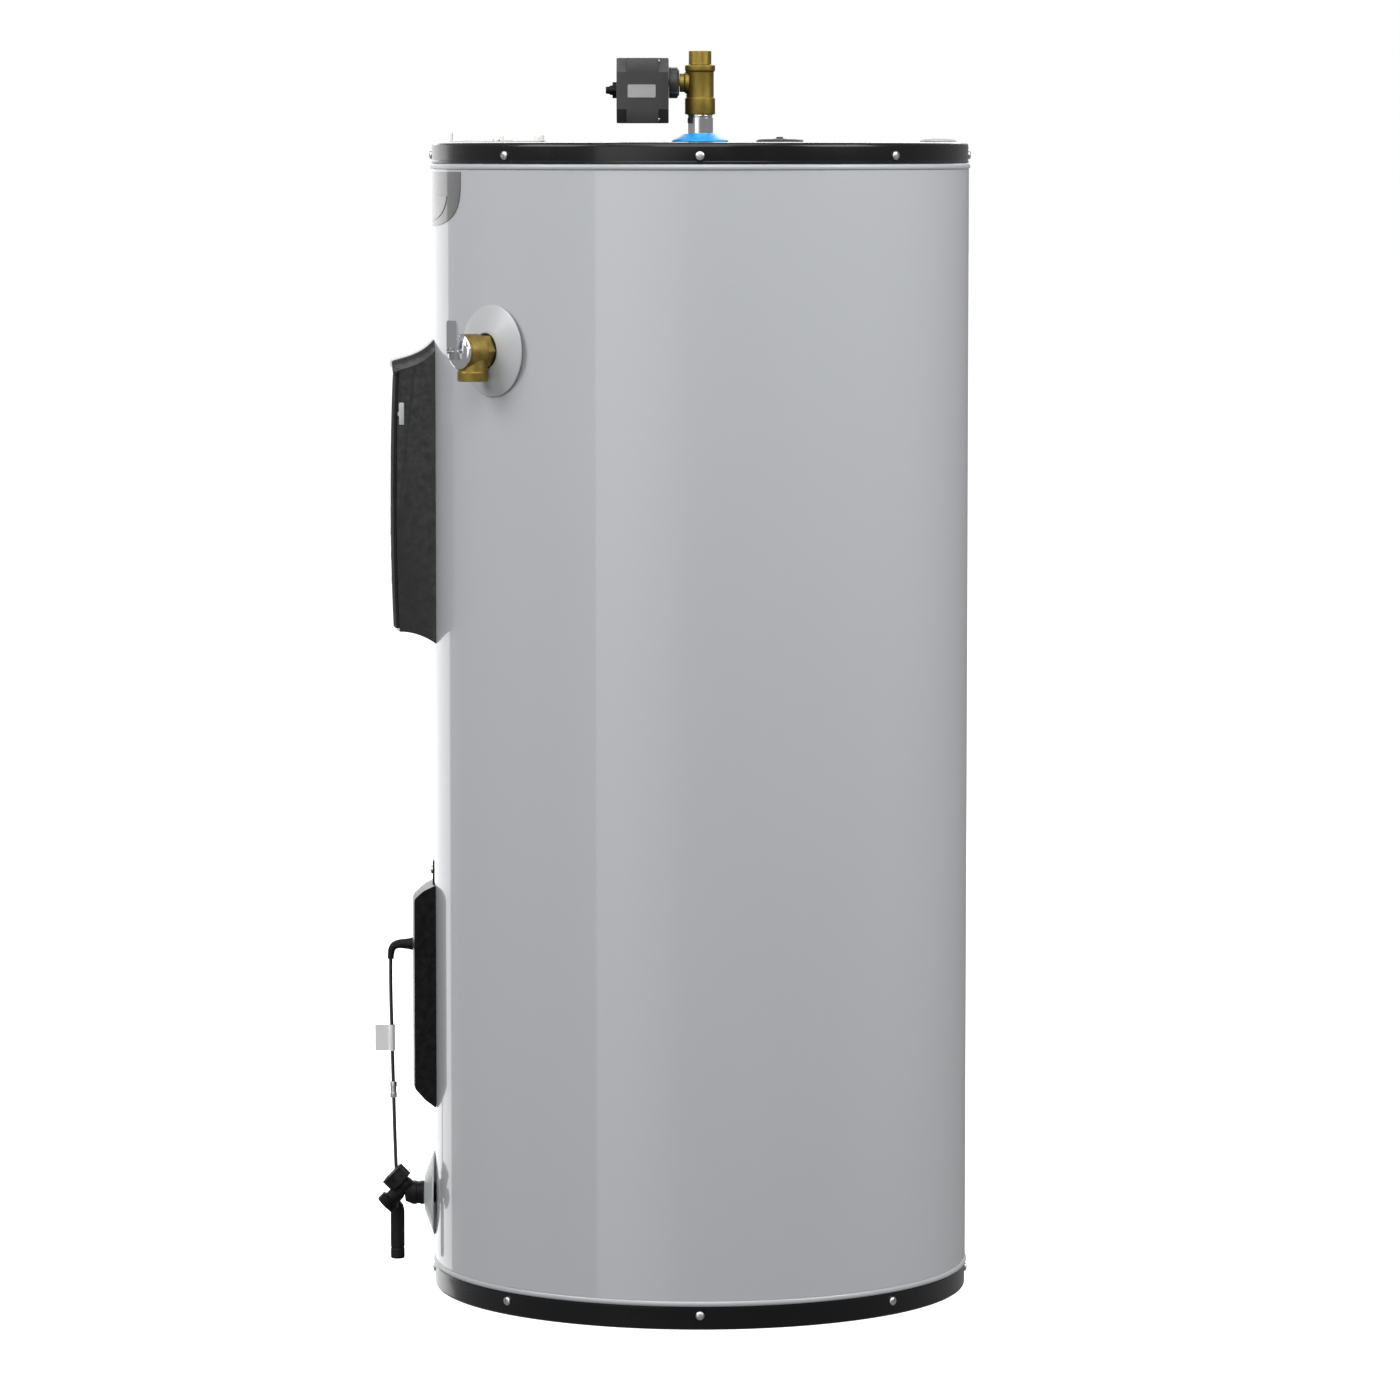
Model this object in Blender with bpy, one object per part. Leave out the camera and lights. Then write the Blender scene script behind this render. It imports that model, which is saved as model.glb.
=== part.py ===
"""Tank water heater: a tall electric storage heater with an automatic shutoff valve.

The origin is on the tank's axis at floor level. +Z is up, the controls face -Y,
and the relief valve and the cold inlet are on the +X side. All sizes are metres.
"""

from math import asin, cos, pi, radians, sin, sqrt, tau

import bmesh
import bpy
from mathutils import Matrix, Vector

# Outer shell
JACKET_R = 0.2794
TOTAL_H = 1.2002
SHEET = 0.0016
GAP = 0.0003
SHELL_SEGMENTS = 48
PAN_H = 0.0238
RING_H = 0.0055
RING_PROUD = 0.0020
CAP_SKIRT = 0.0217
RIM_ROUND = 0.0040

# Tank and insulation
TANK_R = 0.2286
TANK_WALL = 0.0022
TANK_SKIRT_Z = 0.0650
TANK_SHOULDER_Z = 1.0720
TANK_DOME_H = 0.0600
TANK_HEAD_RISE = 0.0500
TANK_SEGMENTS = 32
TANK_SEAM = radians(1.3)
DOME_STEPS = 4
SPUD_TOP_Z = 1.1500

# Plumbing on the top
PORT_X = 0.1016
PIPE_R = 0.01335
PIPE_BORE_R = 0.0100
PIPE_FOOT_Z = 1.1180
COLD_PIPE_TOP_Z = 1.2400
HOT_PIPE_TOP_Z = 1.2370
ANODE_Y = 0.0830
FILL_PLUG_Y = 0.2480
BOX_Y = -0.2105
BOX_SIDE = 0.0785

# Shutoff valve and its actuator
VALVE_Z = 1.2610
VALVE_FOOT_Z = 1.2286
VALVE_TOP_Z = 1.2933
BALL_R = 0.0100
GEAR_MODULE = 0.0010
GEAR_TEETH = 32
PINION_TEETH = 8
ACTUATOR_Y = (-0.0852, -0.0322)
ACTUATOR_Z = (1.2196, 1.2860)
ACTUATOR_HALF_DEPTH = 0.0300
ACTUATOR_SPLIT_X = 0.1190
ACTUATOR_WALL = 0.0022

# Relief valve on the side
RELIEF_AZIMUTH = radians(-48.8)
RELIEF_Z = 0.9895
RELIEF_PORT_RHO = 0.3060
RELIEF_BONNET_RHO = 0.3226
RELIEF_PIVOT_RHO = 0.3310

# Drain valve at the foot of the front
FRONT = radians(-90.0)
DRAIN_Z = 0.0947
DRAIN_HUB = (0.1019, 0.3119)

# Electrical parts on the front
UPPER_ELEMENT_Z = 0.7450
LOWER_ELEMENT_Z = 0.2620
UPPER_POCKET = (0.0500, 0.7050, 0.9500)
LOWER_POCKET = (0.0400, 0.2150, 0.4050)
UPPER_COVER_HALF = radians(10.9)
LOWER_COVER_HALF = radians(8.6)
UPPER_COVER_MID_Z = 0.8250
COVER_FRONT_RHO = 0.3237
COVER_WALL = 0.0022
BUTTON_ZS = {"button_up": 0.7950, "button_mode": 0.7700, "button_down": 0.7450}

# Leak sensor and its cable
CABLE_X = -0.0220
CABLE_R = 0.0019
ELBOW_ROUTE = [
    (-0.0220, -0.3019, 0.3565), (-0.0220, -0.3065, 0.3565), (-0.0220, -0.3120, 0.3565),
    (-0.0220, -0.3180, 0.3563), (-0.0220, -0.3228, 0.3546), (-0.0220, -0.3256, 0.3510),
    (-0.0220, -0.3266, 0.3460), (-0.0220, -0.3269, 0.3405),
]
CABLE_ROUTE = [
    (-0.0220, -0.3269, 0.3402), (-0.0220, -0.3270, 0.3300), (-0.0220, -0.3270, 0.3150),
    (-0.0220, -0.3268, 0.3000), (-0.0220, -0.3265, 0.2850), (-0.0220, -0.3261, 0.2700),
    (-0.0220, -0.3258, 0.2550), (-0.0220, -0.3255, 0.2400), (-0.0220, -0.3250, 0.2200),
    (-0.0220, -0.3245, 0.2000), (-0.0220, -0.3240, 0.1800), (-0.0220, -0.3235, 0.1600),
    (-0.0220, -0.3229, 0.1400), (-0.0220, -0.3222, 0.1200), (-0.0220, -0.3214, 0.1000),
    (-0.0220, -0.3209, 0.0838),
]
TAG_Z = (0.2426, 0.2703)
FERRULE_Z = (0.1925, 0.2096)
SENSOR_Y = -0.3208
SENSOR_Z = (0.0205, 0.0780)


def clear_scene():
    """Remove every object that the file already holds."""
    for obj in list(bpy.data.objects):
        bpy.data.objects.remove(obj)


def material(name, colour, roughness, metallic=0.0):
    """Make a Principled BSDF material."""
    made = bpy.data.materials.new(name)
    made.use_nodes = True
    shader = made.node_tree.nodes["Principled BSDF"]
    shader.inputs["Base Color"].default_value = (*colour, 1.0)
    shader.inputs["Roughness"].default_value = roughness
    shader.inputs["Metallic"].default_value = metallic
    return made


def make_materials():
    """Make the heater's materials, by name."""
    palette = {
        "grey_paint": ((0.50, 0.52, 0.55), 0.35, 0.1),
        "pale_paint": ((0.72, 0.73, 0.75), 0.40, 0.1),
        "black_paint": ((0.02, 0.02, 0.02), 0.35, 0.0),
        "black_plastic": ((0.03, 0.03, 0.03), 0.50, 0.0),
        "grey_plastic": ((0.08, 0.08, 0.085), 0.50, 0.0),
        "pale_plastic": ((0.55, 0.56, 0.57), 0.50, 0.0),
        "blue_plastic": ((0.05, 0.45, 0.90), 0.40, 0.0),
        "red_plastic": ((0.75, 0.06, 0.04), 0.40, 0.0),
        "white_plastic": ((0.85, 0.85, 0.82), 0.50, 0.0),
        "steel": ((0.60, 0.60, 0.60), 0.35, 1.0),
        "chrome": ((0.80, 0.80, 0.82), 0.10, 1.0),
        "brass": ((0.50, 0.38, 0.14), 0.35, 1.0),
        "magnesium": ((0.55, 0.55, 0.53), 0.60, 0.8),
        "foam": ((0.80, 0.72, 0.45), 0.90, 0.0),
        "board": ((0.02, 0.20, 0.08), 0.50, 0.0),
        "glass": ((0.01, 0.01, 0.012), 0.10, 0.0),
        "rubber": ((0.05, 0.05, 0.05), 0.80, 0.0),
        "paper": ((0.75, 0.75, 0.75), 0.70, 0.0),
    }
    return {name: material(name, *look) for name, look in palette.items()}


def place(name, bm, look, frame=Matrix.Identity(4), sharp=35.0):
    """Turn a bmesh into a named object that stands in a frame."""
    bmesh.ops.recalc_face_normals(bm, faces=bm.faces[:])
    mesh = bpy.data.meshes.new(name)
    bm.to_mesh(mesh)
    bm.free()
    mesh.shade_smooth()
    mesh.set_sharp_from_angle(angle=radians(sharp))
    if look is not None:
        mesh.materials.append(look)
    obj = bpy.data.objects.new(name, mesh)
    bpy.context.collection.objects.link(obj)
    obj.matrix_world = frame
    return obj


def combine(target, tool, operation, solver):
    """Cut a tool out of a target, or join the tool to it, and hide the tool."""
    step = target.modifiers.new(operation.title(), "BOOLEAN")
    step.operation = operation
    step.solver = solver
    step.object = tool
    tool.hide_render = True
    tool.display_type = "WIRE"


def cut(target, *tools, solver="EXACT"):
    """Take one or more tools out of a target."""
    for tool in tools:
        combine(target, tool, "DIFFERENCE", solver)


def unite(target, *tools, solver="EXACT"):
    """Join one or more tools to a target."""
    for tool in tools:
        combine(target, tool, "UNION", solver)


def turned(name, profile, look=None, frame=Matrix.Identity(4), segments=20, sweep=tau):
    """Turn a closed (radius, height) profile about the frame's Z axis."""
    bm = bmesh.new()
    ring = [bm.verts.new((radius, 0.0, height)) for radius, height in profile]
    for first, second in zip(ring, ring[1:] + ring[:1]):
        if first.co.x > 0.0 or second.co.x > 0.0:
            bm.edges.new((first, second))
    bmesh.ops.spin(
        bm, geom=bm.verts[:] + bm.edges[:], cent=(0, 0, 0), axis=(0, 0, 1),
        dvec=(0, 0, 0), angle=sweep, steps=segments, use_merge=sweep == tau,
    )
    bmesh.ops.remove_doubles(bm, verts=bm.verts[:], dist=1e-6)
    if sweep < tau:
        rim = [edge for edge in bm.edges if edge.is_boundary]
        bmesh.ops.holes_fill(bm, edges=rim, sides=0)
    return place(name, bm, look, frame)


def rod(name, radius, low, high, look=None, frame=Matrix.Identity(4), segments=16):
    """A round bar along the frame's Z axis."""
    profile = [(0.0, low), (radius, low), (radius, high), (0.0, high)]
    return turned(name, profile, look, frame, segments)


def hole(name, radius, low, high, frame=Matrix.Identity(4), segments=16):
    """A round cutter along the frame's Z axis, whose flats clear a radius."""
    return rod(name, radius / cos(pi / segments), low, high, None, frame, segments)


def tube(name, radius, bore, low, high, look=None, frame=Matrix.Identity(4), segments=20):
    """A round tube along the frame's Z axis."""
    profile = [(bore, low), (radius, low), (radius, high), (bore, high)]
    return turned(name, profile, look, frame, segments)


def block(name, low, high, look=None, frame=Matrix.Identity(4), round_edges=0.0):
    """A box between two corners, with optional rounded edges."""
    bm = bmesh.new()
    middle = (Vector(low) + Vector(high)) / 2
    size = Vector(high) - Vector(low)
    bmesh.ops.create_cube(bm, size=1.0, matrix=Matrix.Translation(middle) @ Matrix.Diagonal((*size, 1)))
    if round_edges > 0.0:
        bmesh.ops.bevel(bm, geom=bm.edges[:], offset=round_edges, segments=2, profile=0.5, affect="EDGES")
    return place(name, bm, look, frame)


def prism(name, outline, low, high, look=None, frame=Matrix.Identity(4)):
    """An outline in the frame's XY plane, extruded along its Z axis."""
    bm = bmesh.new()
    face = bm.faces.new([bm.verts.new((x, y, low)) for x, y in outline])
    grown = bmesh.ops.extrude_face_region(bm, geom=[face])
    raised = [item for item in grown["geom"] if isinstance(item, bmesh.types.BMVert)]
    bmesh.ops.translate(bm, verts=raised, vec=(0, 0, high - low))
    return place(name, bm, look, frame)


def ball(name, radius, centre, look=None, frame=Matrix.Identity(4), segments=12):
    """A round ball."""
    bm = bmesh.new()
    bmesh.ops.create_uvsphere(
        bm, u_segments=segments, v_segments=segments // 2, radius=radius,
        matrix=Matrix.Translation(centre),
    )
    return place(name, bm, look, frame)


def hexagon(across_flats):
    """The corners of a hexagon, with a flat side up."""
    reach = across_flats / sqrt(3.0)
    return [(reach * cos(k * pi / 3), reach * sin(k * pi / 3)) for k in range(6)]


def outward(azimuth, height=0.0):
    """A frame on the tank's axis: its Z points out, its Y up and its X sideways."""
    out = Vector((cos(azimuth), sin(azimuth), 0.0))
    up = Vector((0.0, 0.0, 1.0))
    side = up.cross(out)
    turn = Matrix((side, up, out)).transposed().to_4x4()
    return Matrix.Translation((0.0, 0.0, height)) @ turn


def upright(x, y, z=0.0, turn=0.0):
    """A frame whose Z stays up, moved sideways and turned about itself."""
    return Matrix.Translation((x, y, z)) @ Matrix.Rotation(radians(turn), 4, "Z")


def wire(name, points, radius, look, radii=None, resolution=2):
    """A round wire through a list of points, with closed ends."""
    curve = bpy.data.curves.new(name, "CURVE")
    curve.dimensions = "3D"
    curve.bevel_depth = radius
    curve.bevel_resolution = resolution
    curve.use_fill_caps = True
    spline = curve.splines.new("POLY")
    spline.points.add(len(points) - 1)
    for index, point in enumerate(points):
        spline.points[index].co = (*point, 1.0)
        spline.points[index].radius = radii[index] if radii else 1.0
    curve.materials.append(look)
    obj = bpy.data.objects.new(name, curve)
    bpy.context.collection.objects.link(obj)
    return obj


def smooth_route(points, steps):
    """Read evenly many points from a Catmull-Rom curve through a route."""
    route = [Vector(point) for point in points]
    ends = [2 * route[0] - route[1]] + route + [2 * route[-1] - route[-2]]
    out = []
    for index in range(len(route) - 1):
        before, start, end, after = ends[index:index + 4]
        for step in range(steps):
            t = step / steps
            out.append(0.5 * (
                2 * start + (end - before) * t
                + (2 * before - 5 * start + 4 * end - after) * t ** 2
                + (3 * start - before - 3 * end + after) * t ** 3
            ))
    return out + [route[-1]]


def arc(radius, height, z, count, rising=True):
    """Points on a quarter ellipse from the wall (radius, z) to the axis, ends included."""
    sign = 1.0 if rising else -1.0
    return [
        (radius * cos(k * pi / 2 / count) if k < count else 0.0, z + sign * height * sin(k * pi / 2 / count))
        for k in range(count + 1)
    ]


def pocket_block(name, pocket, near, far):
    """A cutter for the service pocket behind a front cover."""
    half, low, high = pocket
    return block(name, (-half, -far, low), (half, -near, high))


def ring_profile(low):
    """The section of a rolled trim ring that stands on a given height."""
    inner = JACKET_R - 0.0018
    outer = JACKET_R + RING_PROUD
    high = low + RING_H
    return [
        (inner, low), (outer - 0.0012, low), (outer, low + RING_H / 2), (outer - 0.0012, high), (inner, high),
    ]


def make_shell(looks):
    """The jacket, its two end covers and the trim rings between them."""
    inner = JACKET_R - SHEET
    base_pan = [
        (0.0, 0.0), (JACKET_R - 0.0020, 0.0), (JACKET_R, 0.0020), (JACKET_R, PAN_H), (inner, PAN_H),
        (inner, SHEET), (0.0, SHEET),
    ]
    turned("base_pan", base_pan, looks["black_paint"], segments=SHELL_SEGMENTS)
    low_ring_z = PAN_H + GAP
    turned("base_trim_ring", ring_profile(low_ring_z), looks["pale_paint"], segments=SHELL_SEGMENTS)
    skirt_z = TOTAL_H - CAP_SKIRT
    high_ring_z = skirt_z - GAP - RING_H
    turned("top_trim_ring", ring_profile(high_ring_z), looks["pale_paint"], segments=SHELL_SEGMENTS)

    jacket_low = low_ring_z + RING_H + GAP
    jacket_high = high_ring_z - GAP
    jacket = tube("jacket", JACKET_R, inner, jacket_low, jacket_high, looks["grey_paint"],
                  segments=SHELL_SEGMENTS)
    cut(
        jacket,
        pocket_block("tool_jacket_upper", UPPER_POCKET, 0.2500, 0.3000),
        pocket_block("tool_jacket_lower", LOWER_POCKET, 0.2500, 0.3000),
        hole("tool_jacket_relief", 0.0165, 0.2600, 0.3000, frame=outward(RELIEF_AZIMUTH, RELIEF_Z)),
        hole("tool_jacket_drain", 0.0145, 0.2600, 0.3000, frame=outward(FRONT, DRAIN_Z)),
    )

    round_r = JACKET_R - RIM_ROUND
    corner = [
        (round_r + RIM_ROUND * cos(k * pi / 4), TOTAL_H - RIM_ROUND + RIM_ROUND * sin(k * pi / 4))
        for k in range(3)
    ]
    inside = [(inner, skirt_z), (inner, TOTAL_H - SHEET), (0.0, TOTAL_H - SHEET)]
    profile = [(JACKET_R, skirt_z)] + corner + [(0.0, TOTAL_H)] + inside[::-1]
    top_cap = turned("top_cap", profile, looks["black_paint"], segments=SHELL_SEGMENTS)
    opening = BOX_SIDE / 2 + 0.0008
    cut(
        top_cap,
        hole("tool_cap_cold", 0.0160, 1.19, 1.21, frame=upright(PORT_X, 0)),
        hole("tool_cap_hot", 0.0160, 1.19, 1.21, frame=upright(-PORT_X, 0)),
        hole("tool_cap_anode", 0.0200, 1.19, 1.21, frame=upright(0, ANODE_Y)),
        hole("tool_cap_fill", 0.0135, 1.19, 1.21, frame=upright(0, FILL_PLUG_Y)),
        block("tool_cap_box", (-opening, BOX_Y - opening, 1.19), (opening, BOX_Y + opening, 1.21)),
    )


def make_tank(looks):
    """The pressure tank with its spuds, and the stand under it."""
    inner = TANK_R - TANK_WALL
    head_z = TANK_SKIRT_Z + 0.0060
    dome = arc(TANK_R, TANK_DOME_H, TANK_SHOULDER_Z, DOME_STEPS)
    dome_inside = arc(inner, TANK_DOME_H - TANK_WALL, TANK_SHOULDER_Z, DOME_STEPS)[::-1]
    head_top = arc(inner, TANK_HEAD_RISE, head_z + TANK_WALL, DOME_STEPS)
    head_under = arc(inner, TANK_HEAD_RISE, head_z, DOME_STEPS)[::-1]
    profile = [(TANK_R, TANK_SKIRT_Z)] + dome + head_under + [(inner, TANK_SKIRT_Z)]
    seam = Matrix.Rotation(TANK_SEAM, 4, "Z")
    tank = turned("tank_shell", profile, looks["steel"], seam, TANK_SEGMENTS)
    water = turned("tool_water_space", dome_inside + head_top, None, seam, TANK_SEGMENTS)

    side_spuds = {
        "relief": (RELIEF_AZIMUTH, RELIEF_Z, 0.0190, 0.0136),
        "drain": (FRONT, DRAIN_Z, 0.0155, 0.0108),
        "upper": (FRONT, UPPER_ELEMENT_Z, 0.0250, 0.0165),
        "lower": (FRONT, LOWER_ELEMENT_Z, 0.0250, 0.0165),
    }
    top_spuds = {"cold": (PORT_X, 0.0, PIPE_R), "hot": (-PORT_X, 0.0, PIPE_R), "anode": (0.0, ANODE_Y, 0.0105)}
    spuds, bores = [], []
    for key, (azimuth, height, radius, bore) in side_spuds.items():
        frame = outward(azimuth, height)
        spuds.append(rod("tool_spud_" + key, radius, 0.2255, 0.2400, frame=frame, segments=12))
        bores.append(hole("tool_bore_" + key, bore, 0.2220, 0.2600, frame, 12))
    for key, (x, y, radius) in top_spuds.items():
        frame = upright(x, y)
        spuds.append(rod("tool_spud_" + key, radius + 0.0055, 1.1130, SPUD_TOP_Z, frame=frame, segments=12))
        bores.append(hole("tool_bore_" + key, radius + GAP, 1.0800, 1.1700, frame, 12))
    unite(tank, *spuds, solver="MANIFOLD")
    cut(tank, water, *bores, solver="MANIFOLD")

    stand_top = TANK_SKIRT_Z - GAP
    stand_foot = SHEET + GAP
    stand = [(0.2240, stand_foot), (0.2290, stand_foot), (0.2290, stand_top), (0.2240, stand_top)]
    turned("tank_stand", stand, looks["steel"], seam, TANK_SEGMENTS)


def make_insulation(looks):
    """The foam between the tank and the jacket, with wells for everything that passes it."""
    low = 0.0300
    high = TOTAL_H - 0.0060
    outer = JACKET_R - 0.0029
    bore = TANK_R + 0.0012
    under = arc(bore, TANK_DOME_H + 0.0010, TANK_SHOULDER_Z, DOME_STEPS)[::-1]
    foam = turned("insulation_foam", [(outer, low), (outer, high), (0.0, high)] + under + [(bore, low)],
                  looks["foam"], Matrix.Rotation(TANK_SEAM, 4, "Z"), TANK_SEGMENTS)
    wells = {"cold": (PORT_X, 0.0, 0.0205), "hot": (-PORT_X, 0.0, 0.0205), "anode": (0.0, ANODE_Y, 0.0200),
             "fill": (0.0, FILL_PLUG_Y, 0.0135)}
    foot = {"cold": 1.09, "hot": 1.09, "anode": 1.09, "fill": 1.17}
    for key, (x, y, radius) in wells.items():
        cut(foam, hole("tool_well_" + key, radius, foot[key], 1.25, frame=upright(x, y)))
    side = BOX_SIDE / 2 + 0.0010
    cut(
        foam,
        block("tool_well_box", (-side, BOX_Y - side, 1.1490), (side, BOX_Y + side, 1.25)),
        pocket_block("tool_foam_upper", UPPER_POCKET, 0.2180, 0.3000),
        pocket_block("tool_foam_lower", LOWER_POCKET, 0.2180, 0.3000),
        hole("tool_foam_relief", 0.0205, 0.2100, 0.3000, frame=outward(RELIEF_AZIMUTH, RELIEF_Z)),
        hole("tool_foam_drain", 0.0175, 0.2100, 0.3000, frame=outward(FRONT, DRAIN_Z)),
    )


def make_top_fittings(looks):
    """Pipes, rings, anode, plugs and the junction box."""
    tube("cold_inlet_nipple", PIPE_R, PIPE_BORE_R, PIPE_FOOT_Z, COLD_PIPE_TOP_Z, looks["chrome"],
         upright(PORT_X, 0))
    tube("hot_outlet_nipple", PIPE_R, PIPE_BORE_R, PIPE_FOOT_Z, HOT_PIPE_TOP_Z, looks["chrome"],
         upright(-PORT_X, 0))
    seat = TOTAL_H + GAP
    collar = [
        (PIPE_R + GAP, seat), (0.0290, seat), (0.0290, seat + 0.0018), (0.0225, seat + 0.0050),
        (0.0165, seat + 0.0090), (PIPE_R + GAP, seat + 0.0090),
    ]
    turned("cold_inlet_ring", collar, looks["blue_plastic"], upright(PORT_X, 0))
    turned("hot_outlet_ring", collar, looks["red_plastic"], upright(-PORT_X, 0))
    tube("dip_tube", 0.0094, 0.0080, 0.2200, 1.1600, looks["white_plastic"], upright(PORT_X, 0), segments=20)

    anode = rod("anode_rod", 0.0105, 0.2600, SPUD_TOP_Z + 0.0010, looks["magnesium"], upright(0, ANODE_Y), 20)
    unite(anode, prism("tool_anode_head", hexagon(0.0270), SPUD_TOP_Z + GAP, SPUD_TOP_Z + 0.0130,
                       frame=upright(0, ANODE_Y)))
    cap = [
        (0.0, seat), (0.0246, seat), (0.0246, seat + 0.0015), (0.0225, seat + 0.0030), (0.0040, seat + 0.0034),
        (0.0030, seat + 0.0052), (0.0, seat + 0.0055),
    ]
    turned("anode_access_plug", cap, looks["grey_plastic"], upright(0, ANODE_Y))
    dome = [
        (0.0, seat - 0.0150), (0.0130, seat - 0.0150), (0.0130, seat), (0.0192, seat), (0.0192, seat + 0.0012),
        (0.0160, seat + 0.0036), (0.0090, seat + 0.0054), (0.0, seat + 0.0060),
    ]
    turned("foam_fill_plug", dome, looks["pale_plastic"], upright(0, FILL_PLUG_Y))

    half = BOX_SIDE / 2
    floor_z = 1.1500
    lip_z = TOTAL_H - 0.0002
    box = block("junction_box", (-half, BOX_Y - half, floor_z), (half, BOX_Y + half, lip_z), looks["steel"])
    wall = 0.0012
    cut(box, block("tool_box_inside", (wall - half, BOX_Y - half + wall, floor_z + wall),
                   (half - wall, BOX_Y + half - wall, lip_z + 0.01)))
    plate = 0.0485
    cover = block("junction_box_cover", (-plate, BOX_Y - plate, seat), (plate, BOX_Y + plate, seat + 0.0012),
                  looks["white_plastic"])
    unite(
        cover,
        block("tool_cover_lip", (-0.0150, BOX_Y - plate, seat + 0.0002),
              (0.0150, BOX_Y - plate + 0.0012, seat + 0.0095)),
        block("tool_cover_clamp", (-0.0060, BOX_Y + plate - 0.0105, seat + 0.0002),
              (0.0060, BOX_Y + plate - 0.0005, seat + 0.0075), round_edges=0.0008),
    )


def gear_outline(teeth, phase):
    """The outline of a coarse spur gear; a tooth's middle lies at the phase angle."""
    pitch = GEAR_MODULE * teeth / 2
    tip = pitch + 0.7 * GEAR_MODULE
    root = pitch - 1.0 * GEAR_MODULE
    step = tau / teeth
    outline = []
    for tooth in range(teeth):
        middle = phase + tooth * step
        for radius, share in ((root, -0.30), (tip, -0.13), (tip, 0.13), (root, 0.30)):
            angle = middle + share * step
            outline.append((radius * cos(angle), radius * sin(angle)))
    return outline


def make_shutoff_valve(looks):
    """The ball valve on the cold inlet: its body, ball and stem."""
    frame = upright(PORT_X, 0, 0, 5)
    socket_top = COLD_PIPE_TOP_Z + GAP
    socket_r = PIPE_R + 2 * GAP
    body_profile = [
        (socket_r, VALVE_FOOT_Z), (0.0155, VALVE_FOOT_Z), (0.0155, 1.2450), (0.0141, 1.2458), (0.0141, 1.2722),
        (0.0155, 1.2729), (0.0155, 1.2787), (0.0116, 1.2792), (0.0116, VALVE_TOP_Z), (0.0092, VALVE_TOP_Z),
        (0.0092, 1.2810), (0.0075, 1.2800), (0.0075, socket_top), (socket_r, socket_top),
    ]
    body = turned("shutoff_valve_body", body_profile, looks["brass"], frame)
    side = outward(FRONT, VALVE_Z)
    side.translation.x = PORT_X
    unite(body, rod("tool_stem_boss", 0.0105, 0.0110, 0.0210, frame=side), solver="MANIFOLD")
    cut(
        body,
        hole("tool_stem_hole", 0.0038, 0.0050, 0.0300, frame=side),
        ball("tool_ball_seat", BALL_R + 4 * GAP, (0.0, 0.0, 0.0), frame=upright(PORT_X, 0, VALVE_Z, 11)),
        solver="MANIFOLD",
    )
    sphere = ball("shutoff_ball", BALL_R, (0.0, 0.0, 0.0), looks["chrome"], upright(PORT_X, 0, VALVE_Z, 11))
    cut(sphere, hole("tool_ball_bore", 0.0065, -0.02, 0.02, frame=upright(PORT_X, 0, VALVE_Z)))
    rod("shutoff_stem", 0.0035, BALL_R + GAP, 0.0410, looks["steel"], side, 20)


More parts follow.
